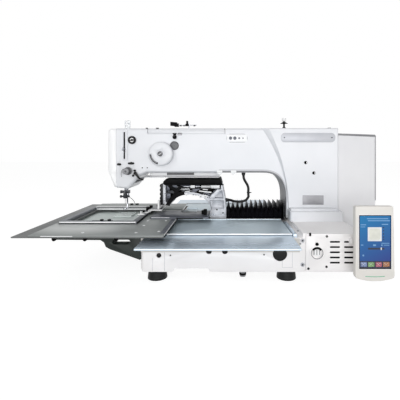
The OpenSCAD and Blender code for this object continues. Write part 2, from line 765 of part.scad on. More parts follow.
wing_left = base_left + 14;
wing_right = recess_right + 5;
wing_t = 4;
cross_min = -30;
cross_max = 145;
neck_half = 24;
channel_half = 18.5;
rail_half = 8;
rail_z = [124, bed_top + 0.4];

module fixed_covers() color(polished) {
  plate([wing_left, -wing_half], [wing_right, -neck_half + cross_min - 3], 3, shelf_z, shelf_z + wing_t);
  plate([wing_left, neck_half + cross_max + 3], [wing_right, wing_half], 3, shelf_z, shelf_z + wing_t);
  // guide strip beside the slide cover
  box([slide_right + 2, -base_half + 4, shelf_z], [slide_right + 12, -90, shelf_z + 8]);
}

rail_x = [-110, 140];
rail_w = 16;
rail_h = 10;
module cross_rails() color(steel)
  for (x = rail_x) box([x - rail_w / 2, -recess_half + 4, recess_floor], [x + rail_w / 2, recess_half - 4, recess_floor + rail_h]);

saddle_z = [113, 122];
module cross_blocks() color(dark_metal)
  for (x = rail_x, y = [-36, 12]) difference() {
    box([x - 17, y, recess_floor + 2], [x + 17, y + 24, saddle_z[0]]);
    box([x - rail_w / 2 - slide_gap, y - over, recess_floor],
        [x + rail_w / 2 + slide_gap, y + 24 + over, recess_floor + rail_h + slide_gap]);
  }

slide_z = shelf_z + wing_t + 1;
slide_top = slide_z + slide_sheet;
beam_half = 56;
carriage_right = throat_x - 3;
module carriage_beam() color(dark_metal) {
  plate([slide_left + 4, -45], [recess_right - 4, 45], 4, saddle_z[0], saddle_z[1]);
  difference() {
    union() {
      box([slide_left + 4, -neck_half, saddle_z[1]], [recess_right - 4, neck_half, slide_z]);
      box([slide_left, -beam_half, slide_z], [carriage_right, beam_half, slide_top]);
    }
    // channel that holds the feed rail
    box([slide_left + 4, -channel_half, rail_z[0]], [recess_right - 6, channel_half, slide_top + over]);
  }
  // end plate that holds the bellows
  box([carriage_right - 2, -bracket_half, slide_top], [carriage_right, bracket_half, bellows_top - 4]);
}

module feed_rail() color(steel)
  box([slide_left + 4, -rail_half, rail_z[0]], [recess_right - 6, rail_half, rail_z[1]]);

module slide_covers() color(polished)
  for (far = [0, 1]) mirror([0, far, 0]) {
    plate([slide_left, -slide_half], [slide_right, -beam_half], 1, slide_z, slide_top);
    // raised lip beside the bracket
    box([slide_left, -beam_half - 6, slide_top], [slide_right - 4, -beam_half - 2, slide_top + 1.6]);
  }

foot_left = -30;
foot_right = 22;
bellows_left = foot_right;
bellows_right = carriage_right - 2;
bellows_skin = 1.6;
bellows_base = slide_top + 0.2;
fold_depth = [9, 20];         // how far a valley drops in from the sides and down from the top

// Half a bellows section, from the near bottom over the top to the far bottom
function bellows_section(x, side, top) = [
  [x, -side, bellows_base], [x, -side, top - 12], [x, -side + 12, top],
  [x, side - 12, top], [x, side, top - 12], [x, side, bellows_base]
];
function bellows_ring(i, skin) = let (
    x = bellows_left + (bellows_right - bellows_left) * i / (2 * bellows_folds),
    valley = (i % 2 == 0) ? 1 : 0,
    side = bracket_half - valley * fold_depth[0] - skin,
    top = bellows_top - valley * fold_depth[1] - skin * 2)
  concat(bellows_section(x, side, top));

module bellows() color(black) {
  rings = 2 * bellows_folds;
  n = 12;
  points = [for (i = [0 : rings]) let (outer = bellows_ring(i, 0), inner = bellows_ring(i, bellows_skin))
    each concat(outer, [for (k = [5 : -1 : 0]) inner[k]])];
  polyhedron(points, concat(
    [for (k = [0 : 4]) each [[k, k + 1, 10 - k], [k, 10 - k, 11 - k]]],
    [for (k = [0 : 4], e = [rings * n]) each [[e + k, e + 10 - k, e + k + 1], [e + k, e + 11 - k, e + 10 - k]]],
    [for (i = [0 : rings - 1]) for (k = [0 : n - 1]) for (half = [0, 1])
      let (a = i * n + k, b = i * n + (k + 1) % n) half == 0 ? [a, a + n, b + n] : [a, b + n, b]]
  ), convexity = 10);
}

// ---- feed bracket ----

arch_at = [-96, 160];
arch_rx = 68;
arch_rz = 50;
arch_steps = 16;
bracket_left = -183;
leg_bottom = 180;
foot_bottom = slide_top + 1;
block_top = slide_top + 15;
function arch(e) = [for (i = [0 : arch_steps]) let (a = 2 + 158 * i / arch_steps)
  [arch_at[0] + (arch_rx + e) * cos(a), arch_at[1] + (arch_rz + e) * sin(a)]];

module bracket_outline() {
  polygon(concat(
    [[bracket_left, bracket_top], [9, bracket_top], [19, 195], [foot_right, 165], [foot_right, foot_bottom],
     [foot_left, foot_bottom], [foot_left, arm_z[1] + 2]],
    arch(0), [[bracket_left, leg_bottom]]
  ));
}

// The open bay in each side of the bracket that holds the clamp linkage
module bracket_bay() {
  polygon(concat([[bracket_left + 8, bracket_top - 2], [5, bracket_top - 2], [5, 225], [-8, 225], [-20, 212]],
    [for (p = arch(7)) if (p[0] < -34) p], [[bracket_left + 8, leg_bottom + 6]]));
}

web_half = 10;
module feed_bracket() color(cast_metal) {
  // pivot of the bell crank and stub for the air hose
  rod_y(crank_pin_r, -36, -web_half + over, crank_at[0], crank_at[1]);
  rod_x(5, 14, 24, -36, hose_z);
  bracket_body();
}

module bracket_body() difference() {
  slab_y(-bracket_half, bracket_half) bracket_outline();
  for (far = [0, 1]) mirror([0, far, 0]) {
    slab_y(-bracket_half - over, -web_half) bracket_bay();
    // pockets that lighten the column
    slab_y(-bracket_half - over, -bracket_half + 14) {
      polygon([[-16, 199], [12, 199], [8, 221], [2, 221]]);
      polygon([[-27, 164], [14, 164], [12, 188], [-22, 188]]);
    }
    for (x = [-60, -46]) rod_y(2.5, -bracket_half - over, -bracket_half + 12, x, 213);
  }
  // channel over the bearing block
  box([foot_left - over, -channel_half + 0.5, foot_bottom - over], [foot_right + over, channel_half - 0.5, block_top]);
}

module feed_block() color(dark_metal) difference() {
  box([foot_left + 2, -channel_half + 0.5, rail_z[0] + 2], [foot_right - 2, channel_half - 0.5, block_top]);
  box([foot_left, -rail_half - slide_gap, rail_z[0]], [foot_right, rail_half + slide_gap, rail_z[1] + slide_gap]);
}

module bracket_cover() color(black)
  slab_y(-bracket_half, bracket_half) polygon([
    [bracket_left, bracket_top], [bracket_left, bracket_top + 8], [bracket_left + 9, bracket_top + bracket_cover_h],
    [4, bracket_top + bracket_cover_h], [9, bracket_top]
  ]);

plate_lift = 7;
plate_bottom = bed_top + plate_lift;
lower_top = plate_bottom + clamp_plate;
frame_top = lower_top + clamp_plate;
arm_z = [frame_top, frame_top + 4.5];
module feed_arm() color(dark_metal) {
  for (far = [0, 1]) mirror([0, far, 0])
    plate([-209, -111], [foot_left, -36], 4, arm_z[0], arm_z[1]);
  box([-75, -60, arm_z[0]], [foot_left, 60, arm_z[1]]);
  // clamping knobs at the bracket foot
  for (at = [[-44, -70], [-50, -58]]) rod_z(5, arm_z[1], arm_z[1] + 12, at[0], at[1]);
}

module lower_clamp_plate() color(clamp_grey) difference() {
  plate([clamp_left, clamp_near], [clamp_right, clamp_far], 4, plate_bottom, lower_top);
  plate([-432, -165], [-236, 50], 6, plate_bottom - over, lower_top + over);
}

frame_left = -463;
opening_low = [-455, -174];
opening_high = [-229, 57];
module feed_frame() color(clamp_grey) difference() {
  plate([frame_left, clamp_near + 2], [clamp_right, clamp_far], 4, lower_top, frame_top);
  plate(opening_low, opening_high, 5, lower_top - over, frame_top + over);
}

frame_low = opening_low + [2, 2];
frame_high = opening_high - [2, 2];
clamp_frame_rise = 6.7;
clamp_frame_top = frame_top + clamp_frame_rise;
module clamp_frame() color(steel) difference() {
  plate(frame_low, frame_high, 4, lower_top + 0.3, clamp_frame_top);
  plate(frame_low + [frame_w, frame_w], frame_high - [frame_w, frame_w], 4, lower_top - over, clamp_frame_top + over);
}

slide_face = -188;
arm_left = -247;
arm_step = -228;
arm_near = -59;
arm_far = 35;
arm_lug_x = [-204, -198];
arm_lug_top = 186;
module clamp_arm() color(white) {
  box([arm_left, arm_near, clamp_frame_top], [arm_step, arm_far, clamp_frame_top + 4]);
  box([arm_step, arm_near + 14, clamp_frame_top], [arm_step + 4, arm_far, clamp_frame_top + 9]);
  box([arm_step, arm_near + 14, clamp_frame_top + 5], [slide_face, arm_far, clamp_frame_top + 9]);
  box([arm_lug_x[0], arm_near + 24, clamp_frame_top + 9], [arm_lug_x[1], arm_far, arm_lug_top]);
}

module clamp_slide() color(black) {
  box([-198, -20, 171], [bracket_left - 3, 20, 240]);
  for (z = [192, 206, 220, 234]) rod_x(4, -201, -197, -12, z);
}

crank_at = [-144, 216];
crank_pin_r = 4;
crank_up = 17;         // arm that the cylinder rod pulls
crank_out = 24;        // arm that lifts the clamp
linkage_y = -29;
cylinder_z = crank_at[1] + crank_up;
cylinder_r = 7;
rod_r = 2.5;
module air_cylinder() color(steel) difference() {
  union() {
    rod_x(cylinder_r, -28, 0, linkage_y, cylinder_z);
    rod_x(cylinder_r - 1.5, -60, -28, linkage_y, cylinder_z);
    rod_y(3, linkage_y, -web_half, -8, cylinder_z);
  }
  rod_x(rod_r + run_gap, -61, -20, linkage_y, cylinder_z);
}

clevis_x = [-95, -81];
module cylinder_rod() color(steel) {
  rod_x(rod_r, crank_at[0] + 5.5, -40, linkage_y, cylinder_z);
  rod_x(5, clevis_x[0], clevis_x[1], linkage_y, cylinder_z);
}

module bell_crank() color(dark_metal) difference() {
  slab_y(linkage_y - 4, linkage_y + 4) {
    translate(crank_at) circle(9);
    translate(crank_at) polygon([[-6, 0], [6, 0], [4, crank_up], [-4, crank_up]]);
    translate(crank_at + [0, crank_up]) circle(4.6);
    translate(crank_at) polygon([[0, 6], [0, -6], [-crank_out, -3], [-crank_out, 3]]);
    translate(crank_at - [crank_out, 0]) circle(4);
  }
  rod_y(crank_pin_r + run_gap, linkage_y - 5, linkage_y + 5, crank_at[0], crank_at[1]);
}

// ---- control panel ----

panel_x = 388;
panel_low = 32;
panel_seat = base_near - cover_t;     // the bracket is screwed on over the vent cover
panel_back = panel_seat - 30;
panel_front = panel_back - panel_d;
hinge_z = panel_low + 89;
hinge_y = panel_seat - 10;
pin_r = 3;
lug_r = 6;

module panel_bracket() color(dark_metal) {
  box([342, panel_seat - 3, hinge_z - 12], [372, panel_seat, hinge_z + 12]);
  for (x = [342, 368]) box([x, hinge_y - 6, hinge_z - 6], [x + 4, panel_seat - 2, hinge_z + 6]);
  rod_x(pin_r, 342, 372, hinge_y, hinge_z);
}

module panel_face(y0, y1, e) {
  slab_y(y0, y1)
    round_rect([panel_x - panel_w / 2 + e, panel_low + e], [panel_x + panel_w / 2 - e, panel_low + panel_h - e], 7 - e);
}

screen_z = panel_low + 30;
module panel_case() color([0.88, 0.87, 0.84]) difference() {
  union() {
    panel_face(panel_front + 2, panel_back, 0);
    panel_face(panel_front, panel_front + 2, 2);
    box([347, panel_back - over, hinge_z - lug_r], [367, hinge_y, hinge_z + lug_r]);
    rod_x(lug_r, 347, 367, hinge_y, hinge_z);
  }
  rod_x(pin_r + run_gap, 346, 368, hinge_y, hinge_z);
  slab_y(panel_front - over, panel_front + 2.5)
    round_rect([panel_x - screen_w / 2, screen_z], [panel_x + screen_w / 2, screen_z + screen_h], 2);
}

module panel_screen() color([0.2, 0.45, 0.75])
  slab_y(panel_front + 1, panel_front + 2.5)
    round_rect([panel_x - screen_w / 2 + 0.1, screen_z + 0.1],
               [panel_x + screen_w / 2 - 0.1, screen_z + screen_h - 0.1], 2);

// ---- air hose ----

hose_r = 4;
hose_sides = 8;
hose_z = 190;
hose_upper_route = [
  [78, -52, 280.8], [78, -52, 273], [80, -55, 260], [90, -60, 242], [93, -62, 232], [93, -62, 225], [93, -62, 218]
];
hose_lower_route = [
  [93, -62, 218], [93, -62, 211], [93, -62, 204], [84, -61, 193], [66, -58, 188], [48, -50, 188],
  [36, -38, 190], [24.3, -36, 190]
];

// Catmull-Rom point between four neighbours
function spline(a, b, c, d, t) = 0.5 * (2 * b + (c - a) * t + (2 * a - 5 * b + 4 * c - d) * t * t
  + (3 * b - a - 3 * c + d) * t * t * t);
function route_point(route, i) = route[max(0, min(len(route) - 1, i))];
hose_steps = 4;
function smooth(route) = concat(
  [for (i = [0 : len(route) - 2]) for (k = [0 : hose_steps - 1])
    spline(route_point(route, i - 1), route[i], route[i + 1], route_point(route, i + 2), k / hose_steps)],
  [route[len(route) - 1]]);
function unit(v) = v / norm(v);

module tube(route) {
  path = smooth(route);
  last = len(path) - 1;
  points = [for (i = [0 : last]) let (
      along = unit(path[min(i + 1, last)] - path[max(i - 1, 0)]),
      side = unit(cross(along, [0.2, 1, 0])),
      up = cross(side, along))
    for (k = [0 : hose_sides - 1]) let (a = 360 * k / hose_sides)
      path[i] + hose_r * (cos(a) * side + sin(a) * up)];
  polyhedron(points, concat(
    [[for (k = [0 : hose_sides - 1]) k]],
    [[for (k = [hose_sides - 1 : -1 : 0]) last * hose_sides + k]],
    [for (i = [0 : last - 1]) for (k = [0 : hose_sides - 1])
      let (a = i * hose_sides + k, b = i * hose_sides + (k + 1) % hose_sides) [a, a + hose_sides, b + hose_sides, b]]
  ), convexity = 6);
}

module hose_upper() color(black) tube(hose_upper_route);
module hose_lower() color(black) tube(hose_lower_route);

base_casting();
arm_casting();
face_cover();
top_cover();
rear_cover();
main_motor();
main_shaft();
bushes();
hand_wheel();
winder_wheel();
takeup_lever();
takeup_guard();
needle_bar();
needle_clamp();
needle();
presser_bar();
presser_foot();
tension_unit();
tension_knob();
thread_guides();
release_lever();
top_guides();
top_tension();
arm_knob();
under_arm_cover();
under_arm_lamp();
bed_arm();
shuttle_hook();
bobbin_case();
throat_plate();
bed_plate();
bed_brackets();
rubber_feet();
vent_cover();
gauge_knob();
drain_plug();
fixed_covers();
cross_rails();
cross_blocks();
carriage_beam();
feed_rail();
slide_covers();
bellows();
feed_bracket();
feed_block();
bracket_cover();
feed_arm();
lower_clamp_plate();
feed_frame();
clamp_frame();
clamp_arm();
clamp_slide();
air_cylinder();
cylinder_rod();
bell_crank();
panel_bracket();
panel_case();
panel_screen();
hose_upper();
hose_lower();
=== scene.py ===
import bpy
import bmesh
import json
import math
from mathutils import Matrix, Vector


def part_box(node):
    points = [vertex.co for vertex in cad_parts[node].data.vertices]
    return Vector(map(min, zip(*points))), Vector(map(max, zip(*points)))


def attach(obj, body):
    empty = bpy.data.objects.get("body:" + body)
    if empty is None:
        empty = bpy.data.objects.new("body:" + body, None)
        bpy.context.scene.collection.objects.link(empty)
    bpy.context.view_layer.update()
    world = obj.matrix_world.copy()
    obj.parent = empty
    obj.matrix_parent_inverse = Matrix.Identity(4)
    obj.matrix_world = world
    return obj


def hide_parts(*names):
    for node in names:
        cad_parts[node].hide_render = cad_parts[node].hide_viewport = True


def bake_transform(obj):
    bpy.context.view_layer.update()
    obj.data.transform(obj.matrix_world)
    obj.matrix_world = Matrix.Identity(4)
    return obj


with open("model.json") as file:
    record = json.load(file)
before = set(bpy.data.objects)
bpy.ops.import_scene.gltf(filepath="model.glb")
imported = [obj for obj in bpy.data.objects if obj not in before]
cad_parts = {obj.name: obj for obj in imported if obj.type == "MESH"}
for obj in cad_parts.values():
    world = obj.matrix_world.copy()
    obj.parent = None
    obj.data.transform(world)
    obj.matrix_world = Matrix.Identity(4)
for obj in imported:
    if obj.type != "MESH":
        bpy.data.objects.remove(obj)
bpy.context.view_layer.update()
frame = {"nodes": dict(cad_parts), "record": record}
nodes = frame["nodes"]
bodies = frame["record"]["behaviour"]["bodies"]
bodyOfNode = {node: body for body, members in bodies.items() for node in members}
mm = 0.001
print("frame loaded with", len(nodes), "nodes")


def metres(point):
    return tuple(value * mm for value in point)


def highEdge(node, axis):
    # a solid's far limit along an axis, in millimetres
    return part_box(node)[1][axis] / mm


def lowEdge(node, axis):
    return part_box(node)[0][axis] / mm


# camera
cameraSettings = {"place": (28, -1022, 354), "lens": 27, "sensor": 36, "shift": (-0.07, -0.125),
                  "farthest": 50}


def makeCamera(settings):
    data = bpy.data.cameras.new("camera")
    data.lens = settings["lens"]
    data.sensor_width = settings["sensor"]
    data.shift_x, data.shift_y = settings["shift"]
    data.clip_end = settings["farthest"]
    camera = bpy.data.objects.new("camera", data)
    camera.location = metres(settings["place"])
    camera.rotation_euler = (math.radians(90), 0, 0)
    bpy.context.scene.collection.objects.link(camera)
    bpy.context.scene.camera = camera


makeCamera(cameraSettings)
print("camera set")


# materials: the node helpers serve the geometry trees too
def setInputs(tree, node, inputs):
    # an input is linked when it is given a socket, and set otherwise
    for name, value in inputs.items():
        if isinstance(value, bpy.types.NodeSocket):
            tree.links.new(value, node.inputs[name])
        else:
            node.inputs[name].default_value = value


def addNode(tree, kind, inputs=None, **settings):
    node = tree.nodes.new(kind)
    for name, value in settings.items():
        setattr(node, name, value)
    setInputs(tree, node, inputs or {})
    return node


def mathNode(tree, operation, first, second):
    return addNode(tree, "ShaderNodeMath", {0: first, 1: second}, operation=operation).outputs["Value"]


def linear(colour):
    # a colour as seen on screen, 0 to 255, to the shader's own values
    values = [c / 255 for c in colour]
    return tuple(v / 12.92 if v <= 0.04045 else ((v + 0.055) / 1.055) ** 2.4 for v in values) + (1,)


def objectPlace(tree, scale=(1, 1, 1), shift=(0, 0, 0)):
    coordinates = addNode(tree, "ShaderNodeTexCoord").outputs["Object"]
    mapping = addNode(tree, "ShaderNodeMapping", {"Vector": coordinates, "Location": shift, "Scale": scale})
    return mapping.outputs["Vector"]


def noiseValue(tree, scale, stretch=(1, 1, 1), detail=3):
    noise = addNode(tree, "ShaderNodeTexNoise", {"Vector": objectPlace(tree, stretch), "Scale": scale,
                                                 "Detail": detail, "Roughness": finishShared["noiseRough"]})
    return noise.outputs["Fac"]


def spread(tree, value, low, high, fromLow=0.3, fromHigh=0.7):
    # noise mostly lies between 0.3 and 0.7
    ranged = addNode(tree, "ShaderNodeMapRange", {"Value": value, "From Min": fromLow, "From Max": fromHigh,
                                                  "To Min": low, "To Max": high})
    return ranged.outputs["Result"]


def blendColours(tree, value, first, second):
    mix = addNode(tree, "ShaderNodeMix", {"Factor": value, "A": first, "B": second}, data_type="RGBA")
    return mix.outputs["Result"]


def twoTones(tree, patch, colour, tone, stretch=(1, 1, 1)):
    # two close colours in soft patches
    patches = noiseValue(tree, patch, stretch)
    return blendColours(tree, spread(tree, patches, 0, 1), linear(colour), linear(tone))


finishShared = {"noiseRough": 0.55, "coatRough": 0.12, "bumpDistance": 0.0004, "wearPerPatch": 2.7,
                "glintEdge": 0.7}
# two tones, how metallic and how rough, then the fineness of patches and grain, and the grain's depth
finishes = {
    "castPaint": {"colour": (229, 230, 234), "tone": (223, 225, 229), "rough": (0.3, 0.4), "coat": 0.2,
                  "patch": 7, "grain": 900, "depth": 0.05},
    # the arm's white paint made brighter on the face cover: painted light
    "faceLitPaint": {"colour": (252, 252, 253), "tone": (248, 249, 250), "rough": (0.3, 0.4), "coat": 0.2,
                  "patch": 7, "grain": 900, "depth": 0.04},
    "basePaint": {"colour": (249, 247, 247), "tone": (243, 241, 241), "rough": (0.32, 0.44), "coat": 0.15,
                  "patch": 6, "grain": 700, "depth": 0.08},
    "greyPaint": {"colour": (228, 228, 230), "tone": (221, 221, 224), "rough": (0.36, 0.46), "coat": 0.1,
                  "patch": 5, "grain": 800, "depth": 0.06},
    # grey for the painted shade on the rear cover's rounded edges
    "rearEdgeShade": {"colour": (132, 133, 136), "tone": (120, 121, 124), "rough": (0.4, 0.5), "patch": 12,
                 "grain": 700, "depth": 0.05},
    "whitePlastic": {"colour": (243, 243, 243), "tone": (236, 237, 238), "rough": (0.3, 0.42),
                     "patch": 14, "grain": 1200, "depth": 0.04},
    "bedSteel": {"colour": (206, 221, 229), "tone": (197, 212, 221), "metallic": 0.4,
                 "rough": (0.3, 0.42), "patch": 5, "grain": 420, "depth": 0.02, "stretch": (0.06, 1, 1)},
    "wingSteel": {"colour": (212, 226, 238), "tone": (203, 217, 229), "metallic": 0.66,
                  "rough": (0.22, 0.34), "patch": 4, "grain": 420, "depth": 0.03,
                  "stretch": (0.06, 1, 1)},
    "turnedSteel": {"colour": (196, 198, 203), "tone": (170, 172, 178), "metallic": 1,
                    "rough": (0.14, 0.26), "patch": 60, "grain": 1500, "depth": 0.04,
                    "stretch": (1, 1, 0.1)},
    # near white; on the clamp rails, plate edges and slot edges it stands for painted highlights
    "brightSteel": {"colour": (250, 251, 252), "tone": (240, 242, 244), "metallic": 0.12,
                    "rough": (0.2, 0.32), "patch": 24, "grain": 900, "depth": 0.03,
                    "stretch": (0.1, 1, 1)},
    "clampMetal": {"colour": (156, 160, 159), "tone": (126, 131, 130), "metallic": 0.35,
                   "rough": (0.42, 0.56), "patch": 6, "grain": 520, "depth": 0.05,
                   "stretch": (0.12, 1, 1), "long": (0.35, 1, 1),
                   # the glint is a painted highlight on the clamp plate
                   "glint": ((-0.372, -0.201, 0.1445), (0.16, 0.085, 0.06), (200, 203, 202))},
    "railMetal": {"colour": (122, 125, 130), "tone": (98, 101, 106), "metallic": 0.5,
                  "rough": (0.34, 0.48), "patch": 9, "grain": 520, "depth": 0.05,
                  "stretch": (0.12, 1, 1)},
    "clampUnder": {"colour": (112, 114, 114), "tone": (98, 100, 100), "metallic": 0.5,
                   "rough": (0.4, 0.54), "patch": 9, "grain": 520, "depth": 0.05,
                   "stretch": (0.12, 1, 1)},
    "bedGrey": {"colour": (228, 236, 233), "tone": (214, 222, 220), "metallic": 0.15,
                "rough": (0.5, 0.62), "patch": 7, "grain": 420, "depth": 0.03, "stretch": (0.06, 1, 1)},
    # mid grey; on the throat's inner faces and along its edge it is painted shade
    "throatGrey": {"colour": (120, 121, 124), "tone": (110, 111, 115), "rough": (0.4, 0.5), "patch": 8,
                   "grain": 800, "depth": 0.05},
    "paleGrey": {"colour": (202, 203, 206), "tone": (194, 195, 199), "rough": (0.4, 0.5), "patch": 20,
                 "grain": 900, "depth": 0.03},
    # beige for the painted shadow under the wing cover
    "coverShadowBeige": {"colour": (208, 205, 201), "tone": (200, 197, 192), "rough": (0.7, 0.85), "patch": 30,
                 "grain": 1400, "depth": 0.2},
    "slateMetal": {"colour": (98, 101, 110), "tone": (82, 85, 94), "metallic": 0.4, "rough": (0.36, 0.48),
                   "patch": 14, "grain": 520, "depth": 0.04},
    "bracketCast": {"colour": (202, 204, 209), "tone": (168, 170, 176), "metallic": 0.3,
                    "rough": (0.42, 0.58), "patch": 45, "grain": 620, "depth": 0.32},
    "darkSteel": {"colour": (58, 60, 64), "tone": (38, 40, 44), "metallic": 0.6, "rough": (0.3, 0.46),
                  "patch": 40, "grain": 700, "depth": 0.08},
    "greenCast": {"colour": (36, 43, 40), "tone": (26, 33, 30), "specular": 0.3, "rough": (0.38, 0.5),
                  "patch": 18, "grain": 520, "depth": 0.22},
    "bronze": {"colour": (190, 156, 92), "tone": (168, 134, 74), "metallic": 1, "rough": (0.2, 0.34),
               "patch": 60, "grain": 1200, "depth": 0.04},
    "blackPlastic": {"colour": (13, 13, 15), "tone": (6, 6, 8), "specular": 0.25, "rough": (0.3, 0.44),
                     "patch": 30, "grain": 900, "depth": 0.08},
    "knobPlastic": {"colour": (96, 97, 100), "tone": (76, 77, 80), "rough": (0.32, 0.44), "patch": 60,
                    "grain": 1200, "depth": 0.06},
    "lampGrey": {"colour": (150, 151, 154), "tone": (132, 133, 137), "rough": (0.3, 0.4), "patch": 20,
                 "grain": 900, "depth": 0.04},
    "bellowsCloth": {"colour": (10, 10, 16), "tone": (4, 4, 8), "specular": 0.3, "rough": (0.36, 0.52),
                     "patch": 30, "grain": 1400, "depth": 0.18},
    "rubber": {"colour": (12, 12, 14), "tone": (6, 6, 8), "specular": 0.25, "rough": (0.42, 0.58),
               "patch": 40, "grain": 900, "depth": 0.16},
    "hoseRubber": {"colour": (6, 6, 8), "tone": (2, 2, 3), "specular": 0.25, "rough": (0.34, 0.46),
                   "patch": 60, "grain": 1200, "depth": 0.1},
    "panelPlastic": {"colour": (230, 227, 222), "tone": (224, 221, 215), "rough": (0.4, 0.52),
                     "patch": 12, "grain": 1300, "depth": 0.08},
    "panelBezel": {"colour": (250, 250, 250), "tone": (246, 246, 246), "rough": (0.22, 0.3), "patch": 20,
                   "grain": 1300, "depth": 0.02},
    "plateMetal": {"colour": (192, 193, 198), "tone": (180, 182, 188), "metallic": 0.3,
                   "rough": (0.36, 0.5), "patch": 14, "grain": 700, "depth": 0.05,
                   "stretch": (0.05, 1, 1)},
    "nameMetal": {"colour": (158, 158, 162), "tone": (142, 142, 146), "metallic": 0.4,
                  "rough": (0.34, 0.46), "patch": 18, "grain": 700, "depth": 0.05,
                  "stretch": (0.05, 1, 1)},
    "deepBlack": {"colour": (5, 5, 6), "tone": (2, 2, 3), "specular": 0.1, "rough": (0.5, 0.7),
                  "patch": 20, "grain": 900, "depth": 0.05},
    "tagWhite": {"colour": (252, 252, 253), "tone": (247, 248, 250), "rough": (0.3, 0.42), "patch": 20,
                 "grain": 1200, "depth": 0.02},
    "inkGrey": {"colour": (92, 96, 108), "tone": (78, 82, 94), "rough": (0.4, 0.5), "patch": 40,
                "grain": 1200, "depth": 0.02},
    "threadYarn": {"colour": (236, 236, 232), "tone": (214, 214, 210), "rough": (0.6, 0.8), "patch": 400,
                   "grain": 4000, "depth": 0.4},
}


def startFinish(name):
    material = bpy.data.materials.new(name)
    material.use_nodes = True
    tree = material.node_tree
    return material, tree, tree.nodes["Principled BSDF"]


def addGlint(tree, colour, centre, reach, shade):
    # a painted highlight: a brighter patch that fades outwards
    place = objectPlace(tree, tuple(1 / r for r in reach), tuple(-c / r for c, r in zip(centre, reach)))
    gradient = addNode(tree, "ShaderNodeTexGradient", {"Vector": place}, gradient_type="SPHERICAL")
    share = spread(tree, gradient.outputs["Fac"], 0, 1, 0, finishShared["glintEdge"])
    return blendColours(tree, share, colour, linear(shade))


def makeFinish(name, facts):
    material, tree, shader = startFinish(name)
    stretch = facts.get("stretch", (1, 1, 1))
    colour = twoTones(tree, facts["patch"], facts["colour"], facts["tone"], facts.get("long", (1, 1, 1)))
    if "glint" in facts:
        colour = addGlint(tree, colour, *facts["glint"])
    grain = noiseValue(tree, facts["grain"], stretch, detail=2)
    worn = noiseValue(tree, facts["patch"] * finishShared["wearPerPatch"], stretch, detail=4)
    bump = addNode(tree, "ShaderNodeBump", {"Height": grain, "Strength": facts["depth"],
                                            "Distance": finishShared["bumpDistance"]})
    setInputs(tree, shader, {
        "Base Color": colour, "Roughness": spread(tree, worn, *facts["rough"]),
        "Normal": bump.outputs["Normal"], "Metallic": facts.get("metallic", 0),
        "Specular IOR Level": facts.get("specular", 0.5), "Coat Weight": facts.get("coat", 0),
        "Coat Roughness": finishShared["coatRough"]})
    return material


glowSettings = {"strength": 0.85, "rough": 0.25, "base": (0.02, 0.02, 0.02, 1), "toneShare": 0.93,
                "patch": 60}
glowColours = {
    "screenWhite": (246, 248, 250), "screenPearl": (236, 237, 226), "screenPale": (120, 176, 226),
    "screenNavy": (16, 26, 60), "screenLilac": (160, 178, 224), "screenGreen": (168, 214, 144),
    "screenPink": (228, 132, 150), "screenOrange": (236, 166, 116), "statusGreen": (104, 190, 150),
}


def makeGlow(name, colour):
    # a lit area of the display
    material, tree, shader = startFinish(name)
    tone = [c * glowSettings["toneShare"] for c in colour]
    setInputs(tree, shader, {
        "Base Color": glowSettings["base"], "Roughness": glowSettings["rough"],
        "Emission Color": twoTones(tree, glowSettings["patch"], colour, tone),
        "Emission Strength": glowSettings["strength"]})
    return material


displaySettings = {"rough": 0.2, "specular": 0.2, "strength": 0.85, "base": (0.01, 0.01, 0.01, 1),
                   "indigo": (50, 56, 142), "sky": (30, 132, 192), "across": 0.25, "upward": 0.75}


def makeDisplay(facts):
    # a blue display that goes from sky blue at the upper left to indigo at the lower right
    material, tree, shader = startFinish("screenGlass")
    near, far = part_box("panel_screen")
    apart = addNode(tree, "ShaderNodeSeparateXYZ", {"Vector": objectPlace(tree)})
    across = spread(tree, apart.outputs["X"], facts["across"], 0, near[0], far[0])
    upward = spread(tree, apart.outputs["Z"], 0, facts["upward"], near[2], far[2])
    total = mathNode(tree, "ADD", across, upward)
    shade = blendColours(tree, total, linear(facts["indigo"]), linear(facts["sky"]))
    setInputs(tree, shader, {
        "Base Color": facts["base"], "Roughness": facts["rough"], "Specular IOR Level": facts["specular"],
        "Emission Color": shade, "Emission Strength": facts["strength"]})
    return material


clearSettings = {"clear": 0.75, "ior": 1.3, "colour": (244, 246, 248), "tone": (232, 235, 238), "patch": 40,
                 "wear": 120, "rough": (0.08, 0.2)}


def makeClear(facts):
    # moulded clear plastic that still catches light
    material, tree, shader = startFinish("clearPlastic")
    worn = noiseValue(tree, facts["wear"])
    setInputs(tree, shader, {
        "Base Color": twoTones(tree, facts["patch"], facts["colour"], facts["tone"]),
        "Roughness": spread(tree, worn, *facts["rough"]),
        "Transmission Weight": facts["clear"], "IOR": facts["ior"]})
    return material


paints = {name: makeFinish(name, facts) for name, facts in finishes.items()}
paints["screenGlass"] = makeDisplay(displaySettings)
paints["clearPlastic"] = makeClear(clearSettings)
paints.update({name: makeGlow(name, colour) for name, colour in glowColours.items()})
print("materials made:", len(paints))


# shared making, in millimetres up to the finished mesh
bevelSettings = {"segments": 2, "degrees": 35}
weldSettings = {"distance": 0.00001, "flatDegrees": 0.5}


def linkPiece(name, mesh, finish):
    piece = bpy.data.objects.new(name, mesh)
    bpy.context.scene.collection.objects.link(piece)
    mesh.materials.clear()
    mesh.materials.append(paints[finish])
    return piece


def evaluated(piece):
    # the piece's modifiers taken into its mesh
    bpy.context.view_layer.update()
    graph = bpy.context.evaluated_depsgraph_get()
    mesh = bpy.data.meshes.new_from_object(piece.evaluated_get(graph))
    old = piece.data
    piece.modifiers.clear()
    piece.data = mesh
    bpy.data.meshes.remove(old)


def smoothByAngle(mesh, degrees=35):
    mesh.polygons.foreach_set("use_smooth", [True] * len(mesh.polygons))
    mesh.set_sharp_from_angle(angle=math.radians(degrees))


